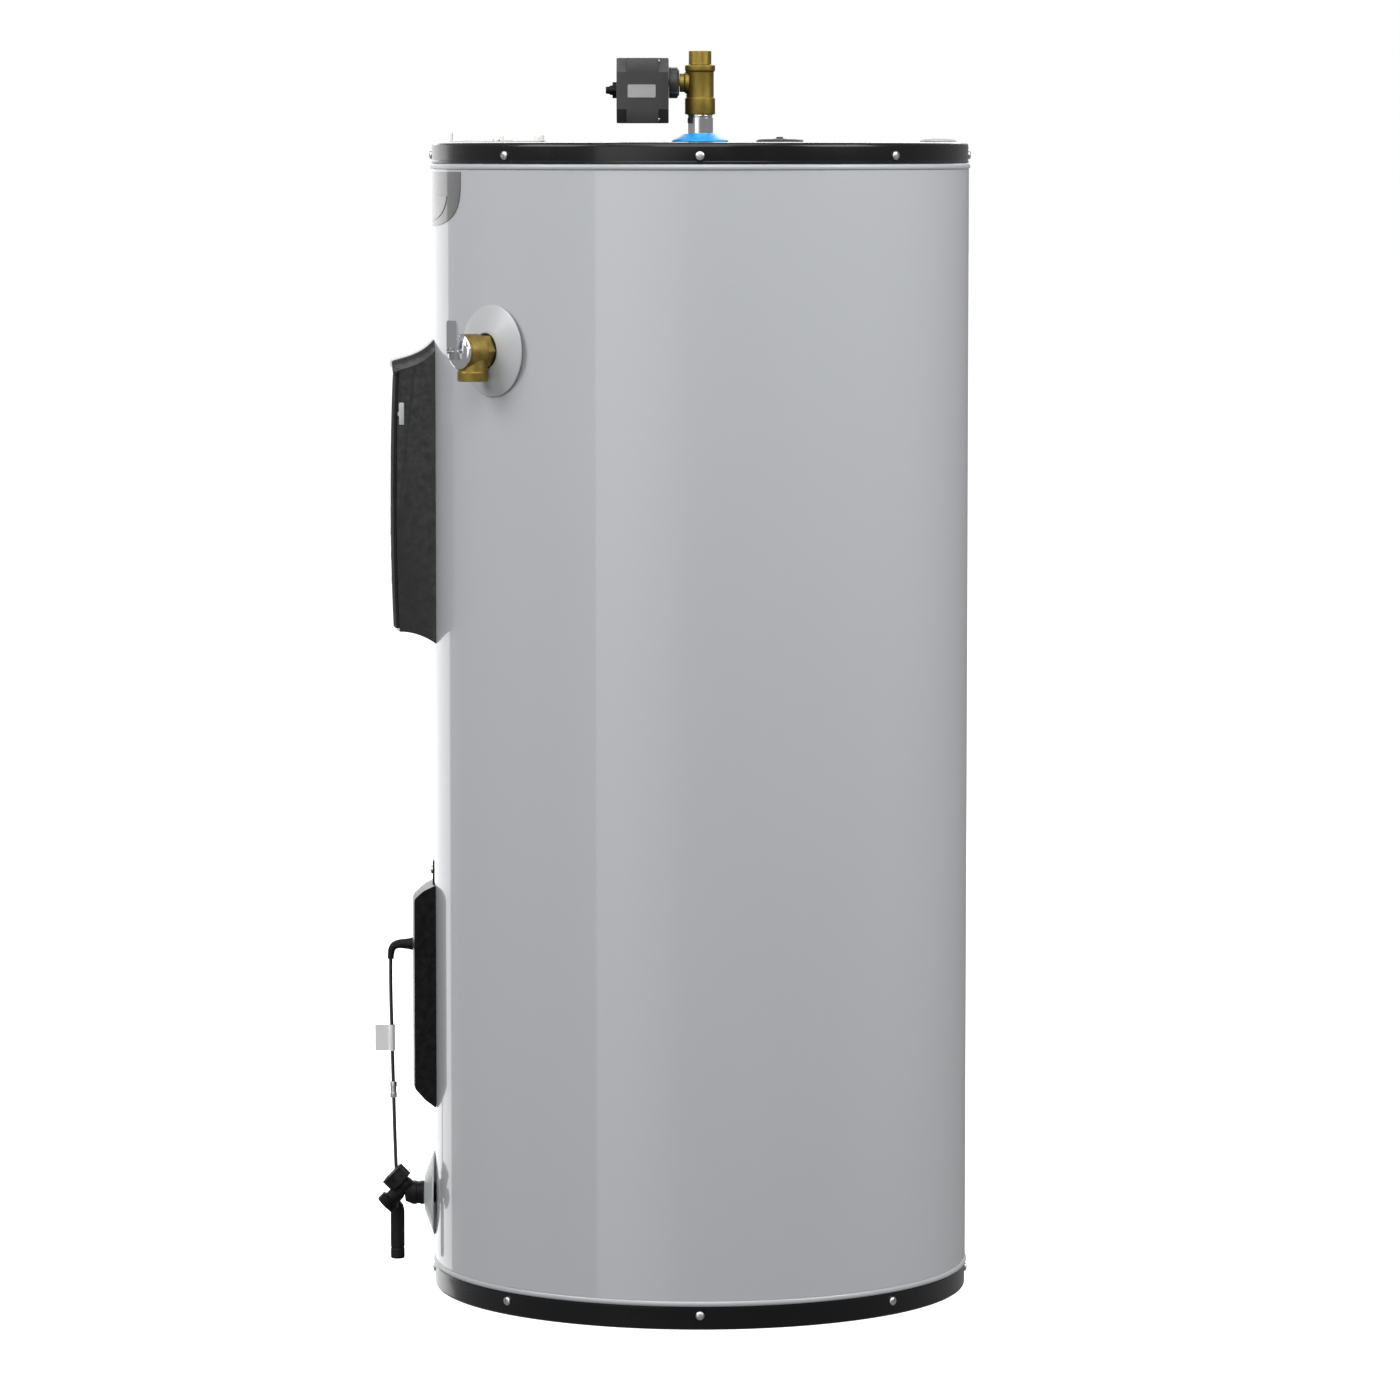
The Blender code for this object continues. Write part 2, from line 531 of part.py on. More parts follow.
def make_actuator(looks):
    """The motor drive that turns the ball: housing, gears, motor and cable gland."""
    side = outward(FRONT, VALVE_Z)
    side.translation.x = PORT_X
    tube("actuator_mount_ring", 0.0160, 0.0060, 0.0213, 0.0319, looks["grey_plastic"], side)

    back_x = PORT_X - ACTUATOR_HALF_DEPTH
    front_x = PORT_X + ACTUATOR_HALF_DEPTH
    (near_y, far_y), (low_z, high_z) = ACTUATOR_Y, ACTUATOR_Z
    wall = ACTUATOR_WALL
    housing = block("actuator_housing", (back_x, near_y, low_z), (ACTUATOR_SPLIT_X, far_y, high_z),
                    looks["grey_plastic"])
    cut(
        housing,
        block("tool_housing_inside", (back_x + wall, near_y + wall, low_z + wall),
              (front_x, far_y - wall, high_z - wall)),
        hole("tool_housing_stem", 0.0048, 0.0250, 0.0400, frame=side),
    )
    cover = block("actuator_cover", (ACTUATOR_SPLIT_X + GAP, near_y, low_z), (front_x, far_y, high_z),
                  looks["grey_plastic"])
    slope = 0.0080
    for key, edge_z, sign in (("top", high_z, 1.0), ("foot", low_z, -1.0)):
        for key_y, start in (("front", near_y - 0.0010), ("rear", far_y - 0.0108)):
            wedge = [
                (front_x + 0.0010, edge_z - sign * 0.0150), (front_x + 0.0010, edge_z + sign * 0.0010),
                (front_x - slope, edge_z + sign * 0.0010), (front_x - slope, edge_z),
                (front_x, edge_z - sign * 0.0142),
            ]
            turn = Matrix(((1, 0, 0), (0, 0, -1), (0, 1, 0))).to_4x4()
            name = "tool_corner_" + key + "_" + key_y
            cut(cover, prism(name, wedge, -start - 0.0118, -start, frame=turn))

    gear_y = 0.0350
    output = prism("actuator_output_gear", gear_outline(GEAR_TEETH, pi / 2), gear_y, gear_y + 0.0040,
                   looks["white_plastic"], side)
    cut(output, hole("tool_output_bore", 0.0035 + GAP, 0.03, 0.05, frame=side))
    centre_gap = GEAR_MODULE * (GEAR_TEETH + PINION_TEETH) / 2
    drive = side.copy()
    drive.translation.z -= centre_gap
    meshed = pi / 2 + pi / PINION_TEETH
    pinion = prism("actuator_pinion", gear_outline(PINION_TEETH, meshed), gear_y - 0.0002, gear_y + 0.0042,
                   looks["brass"], drive)
    unite(pinion, rod("tool_pinion_shaft", 0.0015, gear_y + 0.0020, gear_y + 0.0080, frame=drive))
    motor = rod("actuator_motor", 0.0100, gear_y + 0.0060, 0.0780, looks["steel"], drive, 24)
    cut(motor, hole("tool_motor_bore", 0.0020, gear_y, gear_y + 0.0100, frame=drive))

    gland_frame = outward(FRONT, VALVE_Z - 0.0077)
    gland_frame.translation.x = PORT_X
    gland = prism("actuator_cable_gland", hexagon(0.0165), -near_y + GAP, -near_y + 0.0044,
                  looks["black_plastic"], gland_frame)
    unite(gland, rod("tool_gland_nub", 0.0036, -near_y + 0.0030, -near_y + 0.0113, frame=gland_frame))
    cut(gland, hole("tool_gland_bore", 0.0022, -near_y - 0.01, -near_y + 0.02, frame=gland_frame))


def make_relief_valve(looks):
    """The temperature and pressure relief valve with its test lever."""
    frame = outward(RELIEF_AZIMUTH, RELIEF_Z)
    seat_rho = 0.2960
    end_rho = RELIEF_BONNET_RHO - GAP
    profile = [(0.0, 0.2275), (0.0133, 0.2275), (0.0133, 0.2930), (0.0176, 0.2980), (0.0176, end_rho),
               (0.0, end_rho)]
    body = turned("relief_valve_body", profile, looks["brass"], frame)
    down = upright(*(frame @ Vector((0.0, 0.0, RELIEF_PORT_RHO))))
    unite(
        body,
        prism("tool_relief_hex", hexagon(0.0310), 0.2905, 0.2990, frame=frame),
        rod("tool_relief_port", 0.0158, -0.0305, -0.0040, frame=down),
    )
    cut(
        body,
        hole("tool_relief_bore", 0.0090, 0.2200, seat_rho + 0.0010, frame=frame),
        hole("tool_relief_chamber", 0.0125, seat_rho, end_rho + 0.0100, frame=frame),
        hole("tool_relief_outlet", 0.0105, -0.0400, -0.0020, frame=down),
    )

    base = RELIEF_BONNET_RHO
    dome = [(0.0178, base), (0.0178, base + 0.0014), (0.0160, base + 0.0026), (0.0120, base + 0.0039),
            (0.0070, base + 0.0048), (0.0026, base + 0.0052), (0.0026, base + 0.0032), (0.0120, base + 0.0008),
            (0.0120, base)]
    bonnet = turned("relief_valve_bonnet", dome, looks["chrome"], frame)
    for key, centre in (("left", -0.0050), ("right", 0.0050)):
        unite(bonnet, block("tool_ear_" + key, (centre - 0.0006, -0.0086, base + 0.0037),
                            (centre + 0.0006, 0.0030, RELIEF_PIVOT_RHO + 0.0014), frame=frame))
    pivot = frame @ Matrix.Translation((0.0, 0.0, RELIEF_PIVOT_RHO)) @ Matrix.Rotation(pi / 2, 4, "Y")
    cut(bonnet, hole("tool_ear_hole", 0.0013, -0.02, 0.02, frame=pivot))

    stem = [
        (0.0, seat_rho + GAP), (0.0115, seat_rho + GAP), (0.0115, seat_rho + 0.0023),
        (0.0022, seat_rho + 0.0023), (0.0022, 0.3268), (0.0, 0.3268),
    ]
    turned("relief_valve_stem", stem, looks["steel"], frame, 20)
    turns, per_turn, coil_r, wire_r = 5, 8, 0.0070, 0.0008
    low, high = seat_rho + 0.0035, base - 0.0004
    helix = [
        frame @ Vector((coil_r * cos(k * tau / per_turn), coil_r * sin(k * tau / per_turn),
                        low + (high - low) * k / (turns * per_turn)))
        for k in range(turns * per_turn + 1)
    ]
    wire("relief_valve_spring", helix, wire_r, looks["steel"], resolution=0)

    at_pivot = frame @ Matrix.Translation((0.0, 0.0, RELIEF_PIVOT_RHO))
    lever = block("relief_test_lever", (-0.0081, 0.0038, 0.0014), (0.0081, 0.0315, 0.0024), looks["chrome"],
                  at_pivot)
    for key, sign in (("left", -1.0), ("right", 1.0)):
        near, far = sorted((sign * 0.0070, sign * 0.0081))
        flange = block("tool_flange_" + key, (near, -0.0022, -0.0022), (far, 0.0315, 0.0024), frame=at_pivot)
        unite(lever, flange)
    cut(lever, hole("tool_lever_hole", 0.0013, -0.02, 0.02, frame=pivot))
    rod("relief_lever_pin", 0.0010, -0.0084, 0.0084, looks["steel"], pivot, 12)

    cone = [(0.0180, 0.2884), (0.0458, GAP + JACKET_R), (0.0470, GAP + JACKET_R), (0.0470, 0.2809),
            (0.0186, 0.2896), (0.0180, 0.2896)]
    turned("relief_escutcheon", cone, looks["pale_paint"], frame, 32)


def make_drain_valve(looks):
    """The drain valve: a forked body with a knob above and a hose outlet below."""
    axis = outward(FRONT, DRAIN_Z)
    hub_z, hub_rho = DRAIN_HUB
    hub = outward(FRONT, hub_z) @ Matrix.Translation((0.0, 0.0, hub_rho))
    knob_frame = hub @ Matrix.Rotation(radians(-45.0), 4, "X")
    spout_frame = hub @ Matrix.Rotation(radians(45.0), 4, "X")

    barrel = [
        (0.0, 0.2280), (0.0105, 0.2280), (0.0105, 0.2912), (0.0126, 0.2916), (0.0126, 0.3040), (0.0095, 0.3110),
        (0.0, 0.3130),
    ]
    body = turned("drain_valve_body", barrel, looks["black_plastic"], axis)
    unite(
        body,
        ball("tool_drain_hub", 0.0096, (0.0, 0.0, 0.0), frame=hub),
        rod("tool_drain_neck", 0.0080, 0.0, 0.0215, frame=spout_frame),
        rod("tool_drain_collar", 0.0112, 0.0204, 0.0298, frame=spout_frame),
        solver="MANIFOLD",
    )
    cut(
        body,
        hole("tool_drain_bore", 0.0055, 0.2200, 0.3170, frame=axis),
        hole("tool_drain_outlet", 0.0055, 0.0, 0.0400, frame=spout_frame),
        hole("tool_drain_stem_bore", 0.0040, -0.0010, 0.0200, frame=knob_frame),
        solver="MANIFOLD",
    )
    rod("drain_valve_stem", 0.0036, 0.0010, 0.0190, looks["black_plastic"], knob_frame, 16)
    lobes = 8
    points = 32
    outline = []
    for k in range(points):
        angle = k * tau / points
        radius = 0.0132 + 0.0007 * cos(lobes * angle)
        outline.append((radius * cos(angle), radius * sin(angle)))
    knob = prism("drain_valve_knob", outline, 0.0099, 0.0197, looks["black_plastic"], knob_frame)
    cut(knob, hole("tool_knob_bore", 0.0039, 0.0, 0.0194, frame=knob_frame))
    cone = [(0.0129, 0.2898), (0.0430, GAP + JACKET_R), (0.0444, GAP + JACKET_R), (0.0444, 0.2809),
            (0.0135, 0.2911), (0.0129, 0.2911)]
    turned("drain_escutcheon", cone, looks["pale_paint"], axis, 32)


def make_element(looks, key, height):
    """A screw-in heating element: its head and its hairpin rod."""
    frame = outward(FRONT, height)
    head = rod(key + "_element_head", 0.0162, 0.2300, 0.2410, looks["steel"], frame, 24)
    unite(head, prism("tool_head_" + key, hexagon(0.0440), 0.2403, 0.2480, frame=frame))
    leg_x, far, near, bend = 0.0075, 0.0100, 0.2297, 8
    loop = [(leg_x * cos(k * pi / bend), 0.0, far - leg_x * sin(k * pi / bend)) for k in range(bend + 1)]
    path = [(leg_x, 0.0, near)] + loop + [(-leg_x, 0.0, near)]
    wire(key + "_heating_rod", [frame @ Vector(point) for point in path], 0.0040, looks["steel"])


def cover_front(z):
    """The bulging front of the upper cover, as a radius at a height."""
    return COVER_FRONT_RHO - 0.0028 * ((z - UPPER_COVER_MID_Z) / 0.1320) ** 2


def sector(name, profile, half_angle, steps, look=None):
    """A profile swept to both sides of the front about the tank's axis."""
    start = Matrix.Rotation(FRONT - half_angle, 4, "Z")
    return turned(name, profile, look, start, steps, 2 * half_angle)


def upper_outline():
    """The section of the upper cover: flared against the jacket above and below."""
    rear = JACKET_R + GAP
    steps = 6
    front_zs = [0.6935 + 0.2705 * k / steps for k in range(steps + 1)]
    wall = [(cover_front(z) - 0.0032, z) for z in front_zs]
    lip_rho = COVER_FRONT_RHO - 0.0002
    brow = [(lip_rho, 0.9680), (lip_rho, 0.9730), (lip_rho - 0.0015, 0.9750)]
    start_rho, start_z = brow[-1]
    top, foot = [], []
    for k in range(1, 7):
        t = k / 6
        rho = start_rho + (rear - start_rho) * t
        top.append((rho, start_z + 0.0210 * (0.55 * t + 0.45 * t ** 4)))
    first_rho, first_z = wall[0]
    for k in range(4, 0, -1):
        t = k / 4
        foot.append((first_rho + (rear - first_rho) * t, first_z - 0.0130 * t ** 2))
    return foot + wall + brow + top


def make_upper_cover(looks):
    """The control housing on the front: shell, fascia, display, buttons and board."""
    cover = sector("upper_cover", upper_outline(), UPPER_COVER_HALF, 8, looks["black_plastic"])
    edge = cover.data.vertices
    side_angle = UPPER_COVER_HALF * 0.99
    for vertex in edge:
        angle = Vector((vertex.co.x, vertex.co.y)).angle_signed(Vector((1.0, 0.0)))
        from_middle = abs(abs(angle) - UPPER_COVER_HALF)
        if from_middle > side_angle and vertex.co.z > 0.9660:
            vertex.co.z -= 0.0110
    rear = JACKET_R + GAP
    hollow_half = UPPER_COVER_HALF - asin(COVER_WALL / rear)
    inside = [(rear - 0.0100, 0.7000)]
    inside += [(cover_front(z) - 0.0032 - COVER_WALL, z) for z in (0.7000, 0.7650, 0.8250, 0.8850, 0.9500)]
    inside += [(rear - 0.0100, 0.9500)]
    cut(cover, sector("tool_cover_hollow", inside, hollow_half, 8))
    cut(cover, block("tool_cover_window", (-0.0320, -0.3400, 0.7250), (0.0320, -0.3000, 0.9050)))
    port_frame = outward(FRONT, 0.9200)
    port_x = 0.0580
    cut(cover, block("tool_side_port", (0.0500, -0.0118, 0.3062), (0.0700, 0.0118, 0.3122), frame=port_frame))
    tilt = Matrix.Translation(port_frame @ Vector((port_x, 0.0, 0.3092)))
    block("side_port_cover", (-0.0030, -0.0027, -0.0115), (0.0030, 0.0027, 0.0115), looks["pale_plastic"], tilt)

    zs = [0.6970 + 0.2620 * k / 6 for k in range(7)]
    fascia_profile = [(cover_front(z) - 0.0029, z) for z in zs]
    fascia_profile += [(cover_front(z), z) for z in zs[::-1]]
    fascia = sector("upper_cover_fascia", fascia_profile, UPPER_COVER_HALF * 0.975, 8, looks["grey_plastic"])
    cut(fascia, block("tool_fascia_window", (-0.0250, -0.3400, 0.8200), (0.0250, -0.3000, 0.8700)))
    screen_low, screen_high = 0.8200 + GAP, 0.8700 - GAP
    block("display_window", (-0.0247, -0.3225, screen_low), (0.0247, -0.3195, screen_high), looks["glass"])
    for name, height in BUTTON_ZS.items():
        frame = outward(FRONT, height)
        cut(fascia, hole("tool_" + name, 0.0064, 0.3000, 0.3400, frame=frame))
        front = cover_front(height)
        profile = [(0.0, front - 0.0070), (0.0078, front - 0.0070), (0.0078, front - 0.0050),
                   (0.0060, front - 0.0050), (0.0060, front + 0.0010), (0.0052, front + 0.0018),
                   (0.0, front + 0.0020)]
        turned(name, profile, looks["pale_plastic"], frame, 16)
    block("control_board", (-0.0400, -0.3080, 0.7200), (0.0400, -0.3064, 0.9300), looks["board"])


def make_front_electrics(looks):
    """The high-limit control with its reset button, and the lower sensor."""
    high_limit = block("high_limit_control", (-0.0300, -0.2480, 0.8200), (0.0300, -0.2300, 0.9100),
                       looks["black_plastic"], round_edges=0.0015)
    reset = outward(FRONT, 0.8800)
    cut(high_limit, hole("tool_reset_well", 0.0043, 0.2440, 0.2600, frame=reset))
    rod("high_limit_reset_button", 0.0040, 0.2460, 0.2510, looks["red_plastic"], reset, 20)
    block("lower_temperature_sensor", (-0.0180, -0.2440, 0.3250), (0.0180, -0.2300, 0.3800),
          looks["black_plastic"], round_edges=0.0015)


def make_lower_cover(looks):
    """The cover over the lower element, with its fixing tab."""
    rear = JACKET_R + GAP
    front = 0.3022
    outer = [(rear, 0.1905), (0.2912, 0.1994), (front, 0.2118), (front, 0.4115), (0.2925, 0.4201),
             (rear, 0.4260)]
    cover = sector("lower_cover", outer, LOWER_COVER_HALF, 8, looks["black_plastic"])
    inside_front = front - COVER_WALL
    inside = [(rear - 0.0100, 0.2100), (0.2880, 0.2100), (inside_front, 0.2150), (inside_front, 0.4080),
              (0.2880, 0.4120), (rear - 0.0100, 0.4120)]
    hollow_half = LOWER_COVER_HALF - asin(COVER_WALL / rear)
    cut(cover, sector("tool_lower_hollow", inside, hollow_half, 8))
    tab = [(rear, 0.4200), (rear + 0.0014, 0.4200), (rear + 0.0014, 0.4480), (rear, 0.4480)]
    unite(cover, sector("tool_lower_tab", tab, radians(1.8), 2))


def make_leak_sensor(looks):
    """The leak sensor on its cable, with the boot it hangs from, its flag and its ferrule."""
    radii = [1.30, 1.05, 0.92, 0.82, 0.74, 0.66, 0.60, 0.56]
    wire("cable_elbow", ELBOW_ROUTE, 0.0058, looks["rubber"], radii, 3)
    wire("sensor_cable", smooth_route(CABLE_ROUTE, 2), CABLE_R, looks["rubber"])
    tag_y = -0.3258
    tag_frame = upright(CABLE_X, tag_y)
    tag = tube("cable_tag", 0.0031, CABLE_R + 0.0006, *TAG_Z, looks["paper"], tag_frame, 16)
    flag = block("tool_tag_flag", (-0.0003, -0.0178, TAG_Z[0]), (0.0003, -0.0028, TAG_Z[1]), frame=tag_frame)
    unite(tag, flag)
    tube("cable_ferrule", 0.0036, CABLE_R + 0.0006, *FERRULE_Z, looks["steel"], upright(CABLE_X, -0.3245), 16)
    low, high = SENSOR_Z
    profile = [
        (0.0, low), (0.0062, low), (0.0074, low + 0.0012), (0.0074, high - 0.0060), (0.0060, high),
        (0.0034, high + 0.0030), (0.0030, high + 0.0055), (0.0, high + 0.0055),
    ]
    turned("leak_sensor", profile, looks["rubber"], upright(CABLE_X, SENSOR_Y), 24)


def main():
    """Build the whole heater."""
    clear_scene()
    looks = make_materials()
    make_shell(looks)
    make_tank(looks)
    make_insulation(looks)
    make_top_fittings(looks)
    make_shutoff_valve(looks)
    make_actuator(looks)
    make_relief_valve(looks)
    make_drain_valve(looks)
    make_element(looks, "upper", UPPER_ELEMENT_Z)
    make_element(looks, "lower", LOWER_ELEMENT_Z)
    make_upper_cover(looks)
    make_front_electrics(looks)
    make_lower_cover(looks)
    make_leak_sensor(looks)


main()
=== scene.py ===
"""Tank water heater: the looks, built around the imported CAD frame.

The origin is on the tank's axis at floor level. +Z is up, the controls face -Y,
and the relief valve and the cold inlet are on the +X side. All sizes are metres.
"""

from math import asin, cos, pi, radians, sin, sqrt, tau

import bmesh
import bpy
from mathutils import Matrix, Vector


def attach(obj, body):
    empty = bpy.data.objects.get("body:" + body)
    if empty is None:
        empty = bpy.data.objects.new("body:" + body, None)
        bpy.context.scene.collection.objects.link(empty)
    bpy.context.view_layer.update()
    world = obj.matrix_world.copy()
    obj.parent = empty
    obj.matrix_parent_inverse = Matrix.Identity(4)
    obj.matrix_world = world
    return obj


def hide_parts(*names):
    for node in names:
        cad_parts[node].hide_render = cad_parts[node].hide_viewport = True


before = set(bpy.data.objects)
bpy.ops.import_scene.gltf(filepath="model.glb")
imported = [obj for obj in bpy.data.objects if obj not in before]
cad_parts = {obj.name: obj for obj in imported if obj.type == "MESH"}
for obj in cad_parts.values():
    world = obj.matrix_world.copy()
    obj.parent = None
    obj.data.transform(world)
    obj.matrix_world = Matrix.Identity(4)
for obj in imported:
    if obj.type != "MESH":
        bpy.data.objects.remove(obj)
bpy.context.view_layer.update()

# Sizes shared with the CAD model
JACKET_R = 0.2794
TOTAL_H = 1.2002
SHEET = 0.0016
GAP = 0.0003
PAN_H = 0.0238
RING_H = 0.0055
CAP_SKIRT_Z = 1.1785
PORT_X = 0.1016
PIPE_R = 0.01335
PIPE_BORE_R = 0.0100
PIPE_FOOT_Z = 1.1180
COLD_PIPE_TOP_Z = 1.2400
HOT_PIPE_TOP_Z = 1.2370
ANODE_Y = 0.0830
FILL_PLUG_Y = 0.2480
BOX_Y = -0.2105
VALVE_Z = 1.2610
VALVE_FOOT_Z = 1.2286
VALVE_TOP_Z = 1.2933
ACTUATOR_Y = (-0.0852, -0.0322)
ACTUATOR_Z = (1.2196, 1.2860)
ACTUATOR_X = (0.0716, 0.1316)
ACTUATOR_SPLIT_X = 0.1190
BALL_SEAT_R = 0.0112
RELIEF_AZIMUTH = radians(-48.8)
RELIEF_Z = 0.9895
RELIEF_PORT_RHO = 0.3060
RELIEF_BONNET_RHO = 0.3226
RELIEF_PIVOT_RHO = 0.3310
FRONT = radians(-90.0)
DRAIN_Z = 0.0947
DRAIN_HUB = (0.1019, 0.3119)
UPPER_COVER_HALF = radians(10.9)
LOWER_COVER_HALF = radians(8.6)
CROWN_BEVEL = radians(2.4)
CROWN_DROP = 0.0110
COVER_FRONT_RHO = 0.3237
COVER_WALL = 0.0022
BUTTONS = {
    "button_up": (0.7950, "up_key"),
    "button_mode": (0.7700, "mode_key"),
    "button_down": (0.7450, "down_key"),
}
CABLE_X = -0.0220
CABLE_R = 0.0019
CABLE_ROUTE = [
    (-0.0220, -0.3269, 0.3402), (-0.0220, -0.3270, 0.3300), (-0.0220, -0.3270, 0.3150),
    (-0.0220, -0.3268, 0.3000), (-0.0220, -0.3265, 0.2850), (-0.0220, -0.3261, 0.2700),
    (-0.0220, -0.3258, 0.2550), (-0.0220, -0.3255, 0.2400), (-0.0220, -0.3250, 0.2200),
    (-0.0220, -0.3245, 0.2000), (-0.0220, -0.3240, 0.1800), (-0.0220, -0.3235, 0.1600),
    (-0.0220, -0.3229, 0.1400), (-0.0220, -0.3222, 0.1200), (-0.0220, -0.3214, 0.1000),
    (-0.0220, -0.3209, 0.0838),
]
ELBOW_ROUTE = [
    (-0.0220, -0.3019, 0.3565), (-0.0220, -0.3065, 0.3565), (-0.0220, -0.3120, 0.3565),
    (-0.0220, -0.3180, 0.3563), (-0.0220, -0.3228, 0.3546), (-0.0220, -0.3256, 0.3510),
    (-0.0220, -0.3266, 0.3460), (-0.0220, -0.3269, 0.3405),
]
TAG_Z = (0.2426, 0.2703)
FERRULE_Z = (0.1925, 0.2096)
SENSOR_Y = -0.3208
SENSOR_Z = (0.0205, 0.0780)

# Badge on the jacket, as lengths along the sheet
EMBLEM_HALF = 0.1420
EMBLEM_TOP_Z = 1.1700
EMBLEM_DROP = 0.0565
PANEL_HALF = 0.1100
PANEL_TOP_Z = 1.1465
PANEL_DROP = 0.0510
SHIELD_POWER = 0.53

# Screws around the two end bands
RIM_SCREWS = 8
RIM_SCREW_Z = {"top": 1.1870, "base": 0.0150}

FLOOR_GLOW = 0.95
AMBIENT = (0.30, 0.25)
SHELL_STEPS = 192
ROUND_STEPS = 64
RANGE_SOCKETS = ("From Min", "From Max", "To Min", "To Max")
HERE = Matrix.Identity(4)
# A frame turned so that its X lies along +Y, its Y along +Z and its Z along +X
FACING_X = Matrix(((0, 0, 1), (1, 0, 0), (0, 1, 0))).to_4x4()


# ---------------------------------------------------------------- materials

def surface(name, colour, roughness, metallic=0.0, coat=0.0, coat_roughness=0.1, specular=0.5,
            grain=0.0, grain_scale=900.0, mottle=0.06, mottle_scale=9.0, rough_vary=0.05,
            wear=0.0, wear_colour=(0.5, 0.5, 0.5), stretch=(1.0, 1.0, 1.0)):
    """A painted, moulded or metal surface with colour variation, grain and worn edges."""
    made = bpy.data.materials.new(name)
    made.use_nodes = True
    nodes, links = made.node_tree.nodes, made.node_tree.links
    shader = nodes["Principled BSDF"]
    shader.inputs["Metallic"].default_value = metallic
    shader.inputs["Coat Weight"].default_value = coat
    shader.inputs["Coat Roughness"].default_value = coat_roughness
    shader.inputs["Specular IOR Level"].default_value = specular

    place = nodes.new("ShaderNodeTexCoord")
    mapping = nodes.new("ShaderNodeMapping")
    mapping.inputs["Scale"].default_value = stretch
    links.new(place.outputs["Object"], mapping.inputs["Vector"])

    def noise(scale, detail):
        node = nodes.new("ShaderNodeTexNoise")
        node.inputs["Scale"].default_value = scale
        node.inputs["Detail"].default_value = detail
        links.new(mapping.outputs["Vector"], node.inputs["Vector"])
        return node.outputs["Fac"]

    def ranged(value, low, high, new_low, new_high):
        node = nodes.new("ShaderNodeMapRange")
        for key, number in zip(RANGE_SOCKETS, (low, high, new_low, new_high)):
            node.inputs[key].default_value = number
        links.new(value, node.inputs["Value"])
        return node.outputs["Result"]

    def mixed(factor, first, second):
        node = nodes.new("ShaderNodeMix")
        node.data_type = "RGBA"
        links.new(factor, node.inputs["Factor"])
        for socket, value in ((node.inputs[6], first), (node.inputs[7], second)):
            if isinstance(value, tuple):
                socket.default_value = (*value, 1.0)
            else:
                links.new(value, socket)
        return node.outputs[2]

    cloud = noise(mottle_scale, 5.0)
    dark = tuple(channel * (1.0 - mottle) for channel in colour)
    light = tuple(min(1.0, channel * (1.0 + mottle)) for channel in colour)
    tint = mixed(ranged(cloud, 0.3, 0.7, 0.0, 1.0), dark, light)
    fine = noise(grain_scale, 3.0)
    if wear > 0.0:
        edge = nodes.new("ShaderNodeNewGeometry").outputs["Pointiness"]
        scuff = nodes.new("ShaderNodeMath")
        scuff.operation = "MULTIPLY"
        links.new(ranged(edge, 0.52, 0.62, 0.0, wear), scuff.inputs[0])
        links.new(ranged(noise(140.0, 4.0), 0.35, 0.65, 0.2, 1.0), scuff.inputs[1])
        tint = mixed(scuff.outputs[0], tint, wear_colour)
    links.new(tint, shader.inputs["Base Color"])
    rough = ranged(noise(mottle_scale * 4.0, 6.0), 0.25, 0.75, max(0.02, roughness - rough_vary),
                   min(1.0, roughness + rough_vary))
    links.new(rough, shader.inputs["Roughness"])
    if grain > 0.0:
        bump = nodes.new("ShaderNodeBump")
        bump.inputs["Strength"].default_value = min(1.0, grain)
        bump.inputs["Distance"].default_value = 0.0002
        links.new(fine, bump.inputs["Height"])
        links.new(bump.outputs["Normal"], shader.inputs["Normal"])
    return made


